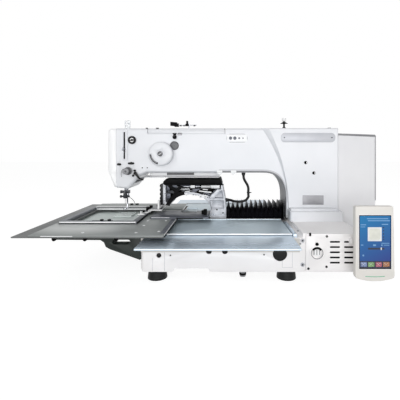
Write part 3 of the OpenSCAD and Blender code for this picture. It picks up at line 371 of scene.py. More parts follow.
def bevelled(piece, width):
    bevel = piece.modifiers.new("edge", "BEVEL")
    bevel.width = width * mm
    bevel.segments = bevelSettings["segments"]
    bevel.limit_method = "ANGLE"
    bevel.angle_limit = math.radians(bevelSettings["degrees"])
    bevel.use_clamp_overlap = True
    evaluated(piece)


def changeMesh(mesh, change, source=None):
    # runs a change on the mesh, or keeps a changed source in it
    made = bmesh.new()
    made.from_mesh(source or mesh)
    change(made)
    made.to_mesh(mesh)
    made.free()
    return mesh


def meshFrom(build):
    # build fills a bmesh in millimetres
    made = bmesh.new()
    build(made)
    bmesh.ops.scale(made, vec=(mm, mm, mm), verts=made.verts)
    bmesh.ops.recalc_face_normals(made, faces=made.faces)
    mesh = bpy.data.meshes.new("mesh")
    made.to_mesh(mesh)
    made.free()
    return mesh


def addBox(made, near, far):
    corners = [made.verts.new((x, y, z)) for x in (near[0], far[0]) for y in (near[1], far[1])
               for z in (near[2], far[2])]
    for face in ((0, 1, 3, 2), (4, 6, 7, 5), (0, 4, 5, 1), (2, 3, 7, 6), (0, 2, 6, 4), (1, 5, 7, 3)):
        made.faces.new([corners[i] for i in face])


def addRod(made, start, end, radius, sides=24):
    start, end = Vector(start), Vector(end)
    along = end - start
    turn = along.to_track_quat("Z", "Y").to_matrix().to_4x4()
    bmesh.ops.create_cone(made, cap_ends=True, segments=sides, radius1=radius, radius2=radius,
                          depth=along.length, matrix=Matrix.Translation((start + end) / 2) @ turn)


def arcPoints(centre, reach, start, end, steps):
    # points along a round or oval arc, between two angles in degrees
    angles = [math.radians(start + (end - start) * i / steps) for i in range(steps + 1)]
    return [(centre[0] + reach[0] * math.cos(a), centre[1] + reach[1] * math.sin(a)) for a in angles]


def roundedOutline(near, far, radius, steps=6):
    points = []
    for x, z, start in ((far[0] - radius, far[1] - radius, 0), (near[0] + radius, far[1] - radius, 90),
                        (near[0] + radius, near[1] + radius, 180), (far[0] - radius, near[1] + radius, 270)):
        points += arcPoints((x, z), (radius, radius), start, start + 90, steps)
    return points


def circleOutline(centre, radius, steps=8):
    x, z = centre
    return roundedOutline((x - radius, z - radius), (x + radius, z + radius), radius, steps)


def arcOutline(centre, radii, start, end, steps=16):
    inner, outer = radii
    return (arcPoints(centre, (outer, outer), start, end, steps)
            + arcPoints(centre, (inner, inner), start, end, steps)[::-1])


def addSlab(made, outline, y0, y1):
    # an outline in X and Z, between two depths
    near = [made.verts.new((x, y0, z)) for x, z in outline]
    far = [made.verts.new((x, y1, z)) for x, z in outline]
    count = len(outline)
    made.faces.new(near)
    made.faces.new(far[::-1])
    for i in range(count):
        made.faces.new([near[i], far[i], far[(i + 1) % count], near[(i + 1) % count]])


def addRing(made, outer, inner, y0, y1):
    # a flat ring between two outlines with equal point counts
    count = len(outer)
    rings = [[made.verts.new((x, y, z)) for x, z in outline] for outline, y in
             ((outer, y0), (outer, y1), (inner, y1), (inner, y0))]
    for first, second in zip(rings, rings[1:] + rings[:1]):
        for i in range(count):
            made.faces.new([first[i], first[(i + 1) % count], second[(i + 1) % count], second[i]])


def addLine(made, start, end, width, y0, y1):
    # a straight strip on an upright face
    start, end = Vector(start), Vector(end)
    along = (end - start).normalized()
    across = Vector((-along.y, along.x)) * width / 2
    corners = [start + across, end + across, end - across, start - across]
    addSlab(made, [tuple(corner) for corner in corners], y0, y1)


formMakers = {"boxes": addBox, "rods": addRod, "lines": addLine, "slabs": addSlab, "rings": addRing}


def addForms(made, facts):
    for kind, addForm in formMakers.items():
        for form in facts.get(kind, ()):
            addForm(made, *form)


def makePiece(name, body, finish, build, edge=0):
    piece = linkPiece(name, meshFrom(build), finish)
    if edge:
        bevelled(piece, edge)
    smoothByAngle(piece.data)
    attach(piece, body)
    return piece


def makeParts(parts):
    # each part's body, finish and forms, with its edge width and material slot where it has them
    for name, (body, finish, facts) in parts.items():
        makePiece(name, body, finish, lambda made: addForms(made, facts),
                  facts.get("edge", 0))


def weld(made):
    flat = math.radians(weldSettings["flatDegrees"])
    bmesh.ops.remove_doubles(made, verts=made.verts, dist=weldSettings["distance"])
    bmesh.ops.dissolve_limit(made, angle_limit=flat, verts=made.verts, edges=made.edges)


dressed = {}


def softened(node, finish, width):
    # a copy of a solid with its sharp edges broken, as a real part has them
    mesh = changeMesh(bpy.data.meshes.new(node), weld, nodes[node].data)
    piece = linkPiece(node + "_dressed", mesh, finish)
    bevelled(piece, width)
    smoothByAngle(piece.data)
    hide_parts(node)
    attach(piece, bodyOfNode[node])
    dressed[node] = piece.data


def routePoints(route, steps=6):
    # a smooth run through the route's points
    points = [Vector(p) for p in route]
    run = []
    for i in range(len(points) - 1):
        a, b = points[max(i - 1, 0)], points[i]
        c, d = points[i + 1], points[min(i + 2, len(points) - 1)]
        for k in range(steps):
            t = k / steps
            run.append(0.5 * (2 * b + (c - a) * t + (2 * a - 5 * b + 4 * c - d) * t * t
                              + (3 * b - a - 3 * c + d) * t ** 3))
    run.append(points[-1])
    return run


def addTube(made, run, radius, sides):
    rings = []
    last = len(run) - 1
    side = None
    for i, point in enumerate(run):
        along = (run[min(i + 1, last)] - run[max(i - 1, 0)]).normalized()
        if side is None:
            side = along.cross(Vector((0.2, 1, 0))).normalized()
        side = (side - along * side.dot(along)).normalized()
        up = side.cross(along)
        rings.append([made.verts.new(point + radius * (math.cos(a) * side + math.sin(a) * up))
                      for a in (2 * math.pi * k / sides for k in range(sides))])
    for first, second in zip(rings, rings[1:]):
        for k in range(sides):
            made.faces.new([first[k], first[(k + 1) % sides], second[(k + 1) % sides], second[k]])
    made.faces.new(rings[0][::-1])
    made.faces.new(rings[-1])


# air hose
hoseSettings = {
    "radius": 4, "sides": 16, "smooth": 60,
    "upper": [(78, -52, 280.8), (78, -52, 273), (80, -55, 260), (90, -60, 242), (93, -62, 232),
              (93, -62, 225), (93, -62, 218)],
    "lower": [(93, -62, 218), (93, -62, 211), (93, -62, 204), (84, -61, 193), (66, -58, 188), (48, -50, 188),
              (36, -38, 190), (24.3, -36, 190)],
}


def makeHose(part):
    run = routePoints(hoseSettings[part])
    tube = meshFrom(lambda made: addTube(made, run, hoseSettings["radius"], hoseSettings["sides"]))
    piece = linkPiece("air_hose_" + part, tube, "hoseRubber")
    smoothByAngle(piece.data, hoseSettings["smooth"])
    path = [metres(p) for p in run]
    length = sum((Vector(b) - Vector(a)).length for a, b in zip(path, path[1:]))
    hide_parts("hose_" + part)
    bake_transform(piece)
    return length


hoseLengths = [makeHose("upper"), makeHose("lower")]
print("air hose runs, in metres:", [round(value, 3) for value in hoseLengths])


# finishes of the solids
plainFinishes = {
    "greyPaint": ["rear_cover"],
    "turnedSteel": ["main_shaft", "needle_bar", "needle", "presser_bar", "shuttle_hook", "bobbin_case",
                    "cylinder_rod"],
    "darkSteel": ["main_motor", "feed_block", "bell_crank", "cross_blocks"],
    "basePaint": ["panel_bracket"],
    "bronze": ["bushes"],
    "screenGlass": ["panel_screen"],
    "knobPlastic": ["under_arm_lamp"],
}
softFinishes = {
    # node: finish and edge width in millimetres
    "face_cover": ("faceLitPaint", 1.2), "top_cover": ("castPaint", 0.6), "base_casting": ("basePaint", 1.6),
    "vent_cover": ("basePaint", 0.8), "hand_wheel": ("castPaint", 0.7),
    "winder_wheel": ("knobPlastic", 1.0), "takeup_guard": ("castPaint", 0.5),
    "takeup_lever": ("turnedSteel", 0.3), "needle_clamp": ("darkSteel", 0.4),
    "presser_foot": ("turnedSteel", 0.3), "tension_unit": ("knobPlastic", 0.3),
    "tension_knob": ("lampGrey", 0.3), "thread_guides": ("blackPlastic", 0.4),
    "release_lever": ("blackPlastic", 0.4), "arm_knob": ("blackPlastic", 0.6),
    "under_arm_cover": ("tagWhite", 0.8), "bed_arm": ("greenCast", 1.0), "throat_plate": ("bedGrey", 0.3),
    "bed_plate": ("bedGrey", 0.5), "bed_brackets": ("greenCast", 1.2), "rubber_feet": ("rubber", 1.5),
    "gauge_knob": ("whitePlastic", 0.3), "drain_plug": ("lampGrey", 0.5),
    "fixed_covers": ("wingSteel", 0.7), "cross_rails": ("turnedSteel", 0.5),
    "carriage_beam": ("darkSteel", 0.5), "feed_rail": ("turnedSteel", 0.5),
    "slide_covers": ("bedSteel", 0.4), "feed_bracket": ("bracketCast", 1.0),
    "bracket_cover": ("deepBlack", 1.5), "feed_arm": ("slateMetal", 0.6),
    "lower_clamp_plate": ("clampUnder", 0.8), "feed_frame": ("clampMetal", 0.8),
    "clamp_frame": ("railMetal", 0.8), "clamp_arm": ("railMetal", 0.6),
    "clamp_slide": ("blackPlastic", 0.7), "air_cylinder": ("brightSteel", 0.5),
}


def finishNode(node, finish):
    mesh = nodes[node].data
    mesh.materials.clear()
    mesh.materials.append(paints[finish])


for finish, members in plainFinishes.items():
    for member in members:
        finishNode(member, finish)
for member, (finish, width) in softFinishes.items():
    softened(member, finish, width)


def finishFaces(mesh, finishNames, choose):
    # one finish for each face, picked from where it lies in millimetres and where it looks
    mesh.materials.clear()
    for name in finishNames:
        mesh.materials.append(paints[name])
    for face in mesh.polygons:
        face.material_index = finishNames.index(choose(face.center / mm, face.normal))


def splitMesh(mesh, place, facing):
    # cuts the faces along a plane, so that each side can have its own finish
    changeMesh(mesh, lambda made: bmesh.ops.bisect_plane(
        made, geom=made.verts[:] + made.edges[:] + made.faces[:], plane_co=metres(place), plane_no=facing))


# a face looks at the near side when its direction's Y lies below this
nearLimit = -0.9
armSettings = {
    "holes": ((275, 314, 4.4), (301, 281, 4.4), (-247, 297, 2.2), (-231, 297, 2.2)),  # x, z and radius
    "slot": {"left": -308, "right": -301, "low": 322, "high": 414, "behind": -30},
    "throat": {"half": 56, "left": 60, "right": 250, "top": 284, "turned": -0.25},
}


def armFinish(at, facing):
    # dark bores, painted shade on the walls of the take-up slot, and painted shade on the throat's inner and
    # lower faces
    if any(math.hypot(at.x - x, at.z - z) < radius for x, z, radius in armSettings["holes"]):
        return "deepBlack"
    throat, slot = armSettings["throat"], armSettings["slot"]
    inThroat = throat["left"] < at.x < throat["right"] and at.z < throat["top"]
    if inThroat and abs(at.y) < throat["half"] and min(facing.x, facing.z) < throat["turned"]:
        return "throatGrey"
    inSlot = slot["left"] < at.x < slot["right"] and slot["low"] < at.z < slot["high"]
    return "deepBlack" if inSlot and at.y < slot["behind"] and facing.y > nearLimit else "castPaint"


feedArmSettings = {"knobs": 11.5, "farHalf": -6}
plateRight = highEdge("lower_clamp_plate", 0)


def feedArmFinish(at, facing):
    # black knobs, and a far half that matches what lies round it
    if at.z > highEdge("feed_arm", 2) - feedArmSettings["knobs"]:
        return "blackPlastic"
    if at.y > feedArmSettings["farHalf"]:
        return "clampMetal" if at.x < plateRight else "bedSteel"
    return "slateMetal"


clampArmSettings = {"upward": 0.7, "lug": 12}


def clampArmFinish(at, facing):
    # grey on top, with white edges and a white lug
    onTop = at.z < highEdge("clamp_frame", 2) + clampArmSettings["lug"]
    return "railMetal" if onTop and facing.z > clampArmSettings["upward"] else "whitePlastic"


guidesSettings = {"guardRight": -200, "barRight": -134}


def guidesFinish(at, facing):
    # a clear guard over the head, then a bar with a black end and its post
    if at.x < guidesSettings["guardRight"]:
        return "clearPlastic"
    return "blackPlastic" if at.x < guidesSettings["barRight"] else "turnedSteel"


ventSettings = {"left": 274, "right": 368, "low": 48, "high": 126}


def ventFinish(at, facing):
    # painted shade on the walls in the slots
    across = ventSettings["left"] < at.x < ventSettings["right"]
    upward = ventSettings["low"] < at.z < ventSettings["high"]
    return "deepBlack" if across and upward and facing.y > nearLimit else "basePaint"


topTensionSettings = {"capFrom": 449}


def topTensionFinish(at, facing):
    # a white cap on a black stem
    return "whitePlastic" if at.z > topTensionSettings["capFrom"] else "deepBlack"


bracketSettings = {"shadeFrom": 238, "right": 4}


def bracketFinish(at, facing):
    # dark along the top
    dark = at.z > bracketSettings["shadeFrom"] and at.x < bracketSettings["right"]
    return "deepBlack" if dark else "bracketCast"


splitMesh(dressed["feed_arm"], (plateRight, 0, 0), (1, 0, 0))
splitMesh(dressed["feed_arm"], (0, feedArmSettings["farHalf"], 0), (0, 1, 0))
faceFinishes = [
    (nodes["arm_casting"].data, ("castPaint", "deepBlack", "throatGrey"), armFinish),
    (nodes["top_guides"].data, ("clearPlastic", "blackPlastic", "turnedSteel"), guidesFinish),
    (nodes["top_tension"].data, ("deepBlack", "whitePlastic"), topTensionFinish),
    (dressed["feed_arm"], ("slateMetal", "blackPlastic", "clampMetal", "bedSteel"), feedArmFinish),
    (dressed["vent_cover"], ("basePaint", "deepBlack"), ventFinish),
    (dressed["clamp_arm"], ("railMetal", "whitePlastic"), clampArmFinish),
    (dressed["feed_bracket"], ("bracketCast", "deepBlack"), bracketFinish),
]
for mesh, finishNames, choose in faceFinishes:
    finishFaces(mesh, finishNames, choose)
print("solids finished:", len(nodes))


# bellows
bellowsSettings = {"folds": 12, "left": 22, "right": 209, "base": 131.3, "top": 182, "half": 48,
                   "corner": 10, "cornerSteps": 4, "dip": 30, "pinch": 11, "sheet": 1.2, "perFold": 4,
                   "around": 29, "sharpness": 0.65, "smooth": 28, "fixed": 2, "blendHeight": 150}


def socketOf(tree, name):
    # what a modifier calls the tree's input of that name
    inputs = [item for item in tree.interface.items_tree if item.in_out == "INPUT"]
    return next(item.identifier for item in inputs if item.name == name)


def newTree(name, sizes):
    # a geometry tree with a geometry input, named sizes and one output
    tree = bpy.data.node_groups.new(name, "GeometryNodeTree")
    tree.interface.new_socket("Geometry", in_out="INPUT", socket_type="NodeSocketGeometry")
    tree.interface.new_socket("Geometry", in_out="OUTPUT", socket_type="NodeSocketGeometry")
    for label, kind in sizes.items():
        tree.interface.new_socket(label, in_out="INPUT", socket_type="NodeSocket" + kind)
    return tree, tree.nodes.new("NodeGroupInput").outputs, tree.nodes.new("NodeGroupOutput")


def finishTree(tree, geometry, output, finish):
    # plain geometry with its material, ready to be made a mesh
    realized = addNode(tree, "GeometryNodeRealizeInstances", {"Geometry": geometry}).outputs["Geometry"]
    finished = addNode(tree, "GeometryNodeSetMaterial", {"Geometry": realized, "Material": paints[finish]})
    tree.links.new(finished.outputs["Geometry"], output.inputs["Geometry"])
    return tree


def bellowsTree(facts):
    # sweeps the section that comes in along X, pinched and dipped at every valley
    tree, sizes, output = newTree("bellowsFolds", {
        "Folds": "Int", "Per Fold": "Int", "Left": "Float", "Length": "Float", "Base": "Float",
        "Height": "Float", "Dip": "Float", "Pinch": "Float"})
    rings = mathNode(tree, "MULTIPLY", sizes["Folds"], sizes["Per Fold"])
    grid = addNode(tree, "GeometryNodeMeshGrid", {"Size X": 1, "Size Y": 1, "Vertices Y": facts["around"],
                                                  "Vertices X": mathNode(tree, "ADD", rings, 1)})
    place = addNode(tree, "GeometryNodeInputPosition").outputs["Position"]
    apart = addNode(tree, "ShaderNodeSeparateXYZ", {"Vector": place}).outputs
    along = mathNode(tree, "ADD", apart["X"], 0.5)
    across = mathNode(tree, "ADD", apart["Y"], 0.5)
    curve = addNode(tree, "GeometryNodeMeshToCurve", {"Mesh": sizes["Geometry"]}).outputs["Curve"]
    sample = addNode(tree, "GeometryNodeSampleCurve", {"Curves": curve, "Factor": across})
    section = addNode(tree, "ShaderNodeSeparateXYZ", {"Vector": sample.outputs["Position"]}).outputs
    # 0 at a peak and 1 at a valley
    halfFolds = mathNode(tree, "MULTIPLY", along, mathNode(tree, "MULTIPLY", sizes["Folds"], 2))
    depth = mathNode(tree, "SUBTRACT", 1, mathNode(tree, "PINGPONG", halfFolds, 1))
    valley = mathNode(tree, "POWER", depth, facts["sharpness"])
    pinch, dip = [mathNode(tree, "SUBTRACT", 1, mathNode(tree, "MULTIPLY", valley, sizes[name]))
                  for name in ("Pinch", "Dip")]
    run = mathNode(tree, "MULTIPLY", along, sizes["Length"])
    rise = mathNode(tree, "MULTIPLY", mathNode(tree, "MULTIPLY", section["Z"], sizes["Height"]), dip)
    joined = addNode(tree, "ShaderNodeCombineXYZ", {
        "X": mathNode(tree, "ADD", run, sizes["Left"]), "Y": mathNode(tree, "MULTIPLY", section["Y"], pinch),
        "Z": mathNode(tree, "ADD", rise, sizes["Base"])})
    moved = addNode(tree, "GeometryNodeSetPosition", {"Geometry": grid.outputs["Mesh"],
                                                      "Position": joined.outputs["Vector"]})
    return finishTree(tree, moved.outputs["Geometry"], output, "bellowsCloth")


def grown(piece, tree, values):
    # runs a geometry tree on the piece and keeps the plain mesh
    modifier = piece.modifiers.new("grow", "NODES")
    modifier.node_group = tree
    for name, value in values.items():
        modifier[socketOf(tree, name)] = value
    evaluated(piece)


def turnOutwards(made):
    bmesh.ops.recalc_face_normals(made, faces=made.faces)
    if sum(face.normal.z for face in made.faces) < 0:
        bmesh.ops.reverse_faces(made, faces=made.faces)


def makeBellows(facts):
    half, corner = facts["half"], facts["corner"]
    height = facts["top"] - facts["base"]
    points = [(-half, 0)]
    for side, start in ((-1, 180), (1, 90)):
        centre = (side * (half - corner), height - corner)
        points += arcPoints(centre, (corner, corner), start, start - 90, facts["cornerSteps"])
    points.append((half, 0))
    mesh = bpy.data.meshes.new("bellows_section")
    section = [(0, y * mm, z / height) for y, z in points]
    mesh.from_pydata(section, [(i, i + 1) for i in range(len(section) - 1)], [])
    piece = linkPiece("bellows_folds", mesh, "bellowsCloth")
    grown(piece, bellowsTree(facts), {
        "Folds": facts["folds"], "Per Fold": facts["perFold"], "Left": facts["left"] * mm,
        "Length": (facts["right"] - facts["left"]) * mm, "Base": facts["base"] * mm,
        "Height": height * mm, "Dip": facts["dip"] / height, "Pinch": facts["pinch"] / half})
    changeMesh(piece.data, turnOutwards)
    wall = piece.modifiers.new("wall", "SOLIDIFY")
    wall.thickness = facts["sheet"] * mm
    wall.offset = -1
    evaluated(piece)
    smoothByAngle(piece.data, facts["smooth"])
    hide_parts("bellows")
    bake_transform(piece)


makeBellows(bellowsSettings)
print("bellows made")


# screws
screwShape = {"sides": 24, "keySides": 6, "keyShare": 0.5, "keyLift": 0.5, "smooth": 40}


def screwTree(finish):
    # a head with a hexagon socket on every point that comes in
    tree, sizes, output = newTree("socketScrews", {"Radius": "Float", "Height": "Float", "Turn": "Rotation"})
    head = addNode(tree, "GeometryNodeMeshCylinder", {
        "Vertices": screwShape["sides"], "Radius": sizes["Radius"], "Depth": sizes["Height"]})
    key = addNode(tree, "GeometryNodeMeshCylinder", {
        "Vertices": screwShape["keySides"], "Depth": sizes["Height"],
        "Radius": mathNode(tree, "MULTIPLY", sizes["Radius"], screwShape["keyShare"])})
    lift = addNode(tree, "ShaderNodeCombineXYZ", {
        "Z": mathNode(tree, "MULTIPLY", sizes["Height"], screwShape["keyLift"])})
    raised = addNode(tree, "GeometryNodeTransform", {"Geometry": key.outputs["Mesh"],
                                                     "Translation": lift.outputs["Vector"]})
    cut = addNode(tree, "GeometryNodeMeshBoolean", {
        "Mesh 1": head.outputs["Mesh"], "Mesh 2": raised.outputs["Geometry"]}, operation="DIFFERENCE")
    placed = addNode(tree, "GeometryNodeInstanceOnPoints", {
        "Points": sizes["Geometry"], "Instance": cut.outputs["Mesh"], "Rotation": sizes["Turn"]})
    return finishTree(tree, placed.outputs["Instances"], output, finish)


screwTrees = {}
headTurns = {"near": (math.radians(90), 0, 0), "up": (0, 0, 0)}


def makeScrews(name, body, finish, places, radius, height, facing):
    # facing is near for heads on an upright face, or up for heads on a level one
    if finish not in screwTrees:
        screwTrees[finish] = screwTree(finish)
    mesh = bpy.data.meshes.new(name)
    mesh.from_pydata([metres(p) for p in places], [], [])
    piece = linkPiece(name, mesh, finish)
    sizes = {"Radius": radius * mm, "Height": height * mm, "Turn": headTurns[facing]}
    grown(piece, screwTrees[finish], sizes)
    smoothByAngle(piece.data, screwShape["smooth"])
    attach(piece, body)


ventNear = lowEdge("vent_cover", 1) + 3
frameTop = highEdge("feed_frame", 2)
screwSettings = {
    # body, finish, places, radius, height and the way the heads face
    "vent_screws": ("machine", "deepBlack", [
        (285, ventNear, 129.5), (284, ventNear, 50.5), (237, ventNear, 45.5)], 3, 1.6, "near"),
    "base_bolts": ("machine", "turnedSteel", [(223, -237, 117), (223, -237, 54)], 5.4, 3, "near"),
    "ledge_screws": ("machine", "turnedSteel", [(232, -86, 151.5), (352, -86, 151.5)], 5.5, 3, "up"),
    "plate_screws": ("feed", "brightSteel", [(x, y, frameTop - 0.4) for x, y in (
        (-209, -133), (-156, -133), (-205, -190), (-150, -250), (-205, -262), (-340, -262), (-150, 110))],
        3.6, 1.8, "up"),
    "clamp_screws": ("clamp", "deepBlack", [
        (-214, 18, 160), (-334.5, -160, 151.5), (-313, -160, 151.5)], 5, 6.5, "up"),
    "bracket_screws": ("feed", "turnedSteel", [(x, -48, z) for x, z in (
        (-178, 236), (-178, 212), (-178, 190), (-52, 207), (-38, 204), (-20, 144), (12, 144))],
        2.8, 2, "near"),
    "throat_screws": ("machine", "turnedSteel", [
        (x, y, highEdge("throat_plate", 2) - 0.5) for x in (-346, -298) for y in (-24, 24)], 2.4, 0.8, "up"),
    "bar_screws": ("machine", "deepBlack", [(x, -237, 121) for x in (-427, -346, -264)], 5.4, 5, "near"),
    "strip_screws": ("machine", "turnedSteel", [
        (207, y, highEdge("fixed_covers", 2) - 0.4) for y in (-110, -165, -220)], 2.8, 1.4, "up"),
}
for name, facts in screwSettings.items():
    makeScrews(name, *facts)
print("screws made:", len(screwSettings), "sets")


# plates, tags and trim on the arm
pillarNear = -68
armFace = -58
plateSettings = {
    # finish, low and high corner, corner radius, face and thickness
    "makers_plate": ("plateMetal", (196, 378.6), (369, 408.4), 13, pillarNear, 1.2),
    "rating_plate": ("nameMetal", (265, 180), (332, 210), 1, pillarNear, 0.8),
    "arm_tag": ("tagWhite", (25, 380), (89, 404), 5, armFace, 0.6),
}
makeParts({name: ("machine", finish, {
    "slabs": [(roundedOutline(near, far, radius), face - thick, face + 0.3)], "edge": 0.3, "slot": "steel"})
    for name, (finish, near, far, radius, face, thick) in plateSettings.items()})
makeScrews("plate_rivets", "machine", "darkSteel", [(x, pillarNear - 1.4, 393.5) for x in (207, 358)],
           2, 1.2, "near")
makeParts({
    # plain marks: four dots
    "tag_marks": ("machine", "inkGrey", {"rods": [
        ((x, armFace - 0.9, 392), (x, armFace - 0.5, 392), radius, 20)
        for x, radius in ((36, 5.4), (50, 5.4), (64, 3), (76, 2.2))]}),
    # a dark strip along the top of the rear cover: painted shade on its rounded edge
    "rear_top_shade": ("machine", "rearEdgeShade", {"edge": 0.4, "slabs": [
        ([(382, 407.3), (500, 403.3), (503, 399.5), (503, 396), (382, 401)], -58.6, -56)]}),
})
print("plates and trim made")


# thread path
wireSettings = {
    # body, finish, radius and route
    "check_spring": ("machine", "darkSteel", 0.7, [
        (-303, -64, 293), (-308, -64, 292), (-312, -64, 286), (-313, -64, 276), (-312, -64, 268)]),
    "thread_wiper": ("machine", "darkSteel", 0.9, [
        (-316, -16, 229), (-315, -17, 208), (-306, -18, 199), (-293, -18, 190), (-285, -18, 180),
        (-283, -18, 172)]),
    "needle_thread": ("needle_bar", "threadYarn", 0.35, [
        (-322, -8, 213), (-322.2, -5, 203), (-322, -2.5, 192), (-322, -1.6, 178), (-322, -1.4, 166)]),
}
wireShape = {"steps": 5, "sides": 8, "smooth": 60}


def makeWire(name, body, finish, radius, route):
    run = routePoints(route, wireShape["steps"])
    piece = makePiece(name, body, finish, lambda made: addTube(made, run, radius, wireShape["sides"]))
    smoothByAngle(piece.data, wireShape["smooth"])


for name, facts in wireSettings.items():
    makeWire(name, *facts)
print("thread path made")


# control panel
panelSettings = {"left": 340, "right": (434, 437), "top": 216, "corner": 4, "shoulder": 5, "chin": 40,
                 "bow": 8.4, "chinSpan": 0.95, "front": -287.6, "back": -272, "border": 1.7,
                 "bezel": ((347.2, 61.4), (428.8, 196)), "window": ((348.6, 62.8), (427.4, 194.6)),
                 "bezelRadius": 4, "windowRadius": 1.5, "insideRadius": 3, "lug": (347, 367), "lugHalf": 6,
                 "edge": 2.2}
statusSettings = {"middle": 388, "half": 24, "height": 45.6, "bow": 1.2, "thick": 1.5}
displayFace = lowEdge("panel_screen", 1)
# depth and height of the panel's hinge
hingeAt = (-255, 121)


def bowedPoints(middle, half, height, bow, span, steps):
    # a line that is lowest in the middle, from one share of its half width to the other
    shares = [-span + 2 * span * i / steps for i in range(steps + 1)]
    return [(middle + half * share, height - bow * (1 - share * share)) for share in shares]


def panelOutline(facts):
    # a case that widens a little downwards, with a bowed chin
    left, (topRight, lowRight) = facts["left"], facts["right"]
    corner, shoulder = facts["corner"], facts["chin"] + facts["shoulder"]
    points = arcPoints((topRight - corner, facts["top"] - corner), (corner, corner), 0, 90, 4)
    points += arcPoints((left + corner, facts["top"] - corner), (corner, corner), 90, 180, 4)
    chin = bowedPoints((left + lowRight) / 2, (lowRight - left) / 2, facts["chin"], facts["bow"],
                       facts["chinSpan"], 16)
    return points + [(left, shoulder)] + chin + [(lowRight, shoulder)]


def statusOutline(facts):
    # a thin lit line that follows the chin's bow
    top = bowedPoints(facts["middle"], facts["half"], facts["height"], facts["bow"], 1, 12)
    return top + [(x, z - facts["thick"]) for x, z in reversed(top)]


def makePanel(facts):
    front, back, border = facts["front"], facts["back"], facts["border"]
    case = makePiece("panel_body", "panel", "panelPlastic",
                     lambda made: addSlab(made, panelOutline(facts), front, back),
                     edge=facts["edge"])
    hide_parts("panel_case")
    (x0, z0), (x1, z1) = facts["window"]
    window = roundedOutline((x0, z0), (x1, z1), facts["windowRadius"])
    inside = roundedOutline((x0 + border, z0 + border), (x1 - border, z1 - border), facts["insideRadius"])
    lugLeft, lugRight = facts["lug"]
    lugLow, lugHigh = hingeAt[1] - facts["lugHalf"], hingeAt[1] + facts["lugHalf"]
    makeParts({
        "panel_bezel": ("panel", "panelBezel", {"edge": 0.3, "slot": "panel_plastic", "rings": [
            (roundedOutline(*facts["bezel"], facts["bezelRadius"]), window, front - 1, front + 0.3)]}),
        "screen_border": ("panel", "deepBlack", {"slot": "screen", "rings": [
            (window, inside, front - 0.9, front - 0.2)]}),
        "panel_lug": ("panel", "panelPlastic", {"edge": 0.6, "slot": "panel_plastic", "boxes": [
            ((lugLeft, back - 1, lugLow), (lugRight, hingeAt[0], lugHigh))]}),
        "status_line": ("panel", "statusGreen", {"slot": "screen", "slabs": [
            (statusOutline(statusSettings), front - 0.3, front + 0.2)]}),
    })


makePanel(panelSettings)
screenSettings = {
    # blocks as left, low, right and high
    "screen_bar": ("screenNavy", [(350, 64.2, 426, 82.4)]),
    "screen_card": ("screenWhite", [(370, 131, 404, 165)]),
    "screen_lines": ("screenPale", [(352, 170, 366, 172), (352, 165, 364, 166.6), (353, 120.5, 359, 122.5),
                                    (357, 94, 361, 98), (383, 119, 390, 123), (368, 185, 420, 187),
                                    (370, 180, 424, 182), (404, 171, 420, 173)]),
    "screen_frame": ("screenPale", [(403, 125, 423, 126.6), (403, 119, 406, 123), (409, 120.4, 423, 122)]),
    "screen_slider": ("screenNavy", [(370.5, 110.4, 410.5, 114.8)]),
    "screen_dots": ("screenNavy", [(407, z, 410, z + 3) for z in (162.6, 155, 147, 139.6, 134)]),
    "button_blue": ("screenLilac", [(352.4, 68.2, 367.6, 79.6)]),
    "button_green": ("screenGreen", [(370.8, 68.2, 386, 79.6)]),
    "button_pink": ("screenPink", [(389.2, 68.2, 404.4, 79.6)]),
    "button_orange": ("screenOrange", [(407.6, 68.2, 422.8, 79.6)]),
    "button_marks": ("screenWhite", [
        (x + dx, z, x + dx + 4, z + 1.6) for x in (353.6, 372, 390.4, 408.8)
        for dx, z in ((0.6, 70.4), (7, 70.4), (3.4, 73.2), (0.6, 76), (7, 76))]),
}
makeParts({name: ("panel", finish, {"slot": "screen", "slabs": [
    (roundedOutline((x0, z0), (x1, z1), 1, 3), displayFace - 0.3, displayFace + 0.2)
    for x0, z0, x1, z1 in blocks]}) for name, (finish, blocks) in screenSettings.items()})
makeParts({
    "card_picture": ("panel", "screenPearl", {"slot": "screen", "slabs": [
        (roundedOutline((373.5, 134.5), (400.5, 161.5), 5, 5), displayFace - 0.5, displayFace - 0.2)]}),
    "slider_knob": ("panel", "screenWhite", {"slot": "screen", "slabs": [
        (roundedOutline((401.4, 109.4), (404, 115.6), 0.8, 3), displayFace - 0.5, displayFace - 0.2)]}),
})
print("panel display made")


# small fittings
baseNear = -237
fittingSettings = {
    # a tie round the hose with its free end, a gland and a fitting at its ends
    "hose_tie": ("carriage", "blackPlastic", {
        "edge": 0.3, "rods": [((93, -62, 216.4), (93, -62, 219.6), 5, 20)],
        "boxes": [((97.6, -63.2, 216.6), (103, -60.8, 219.2))]}),
    "hose_gland": ("machine", "blackPlastic", {"edge": 0.3, "rods": [
        ((78, -52, 281), (78, -52, 276), 7, 6), ((78, -52, 276.2), (78, -52, 272), 5.4, 20)]}),
    "hose_fitting": ("feed", "blackPlastic", {"edge": 0.3, "rods": [
        ((16, -36, 190), (26, -36, 190), 6.4, 6), ((25.8, -36, 190), (30, -37, 190), 5.2, 20)]}),
    # two clips under the arm
    "arm_clips": ("machine", "whitePlastic", {"edge": 0.5, "slabs": [
        slab for x in (1, 46) for slab in (
            (roundedOutline((x - 9, 280.6), (x + 9, 289), 3.6), -61, -57),
            (roundedOutline((x - 6, 275), (x + 6, 281.5), 2.5), -60, -30))]}),
    # caps in the round holes of the base
    "base_plugs": ("machine", "blackPlastic", {"edge": 0.8, "rods": [
        ((x, baseNear + inside, z), (x, baseNear - proud, z), radius, sides)
        for x, z, inside, proud, radius, sides in (
            (-153, 78, 3, 0.6, 6, 24), (-22, 90, 4, 0.4, 8.2, 28), (20, 90, 4, 0.4, 8.2, 28),
            (164, 82, 2.6, 0.8, 18.4, 40))]}),
}
makeParts(fittingSettings)
print("fittings made")


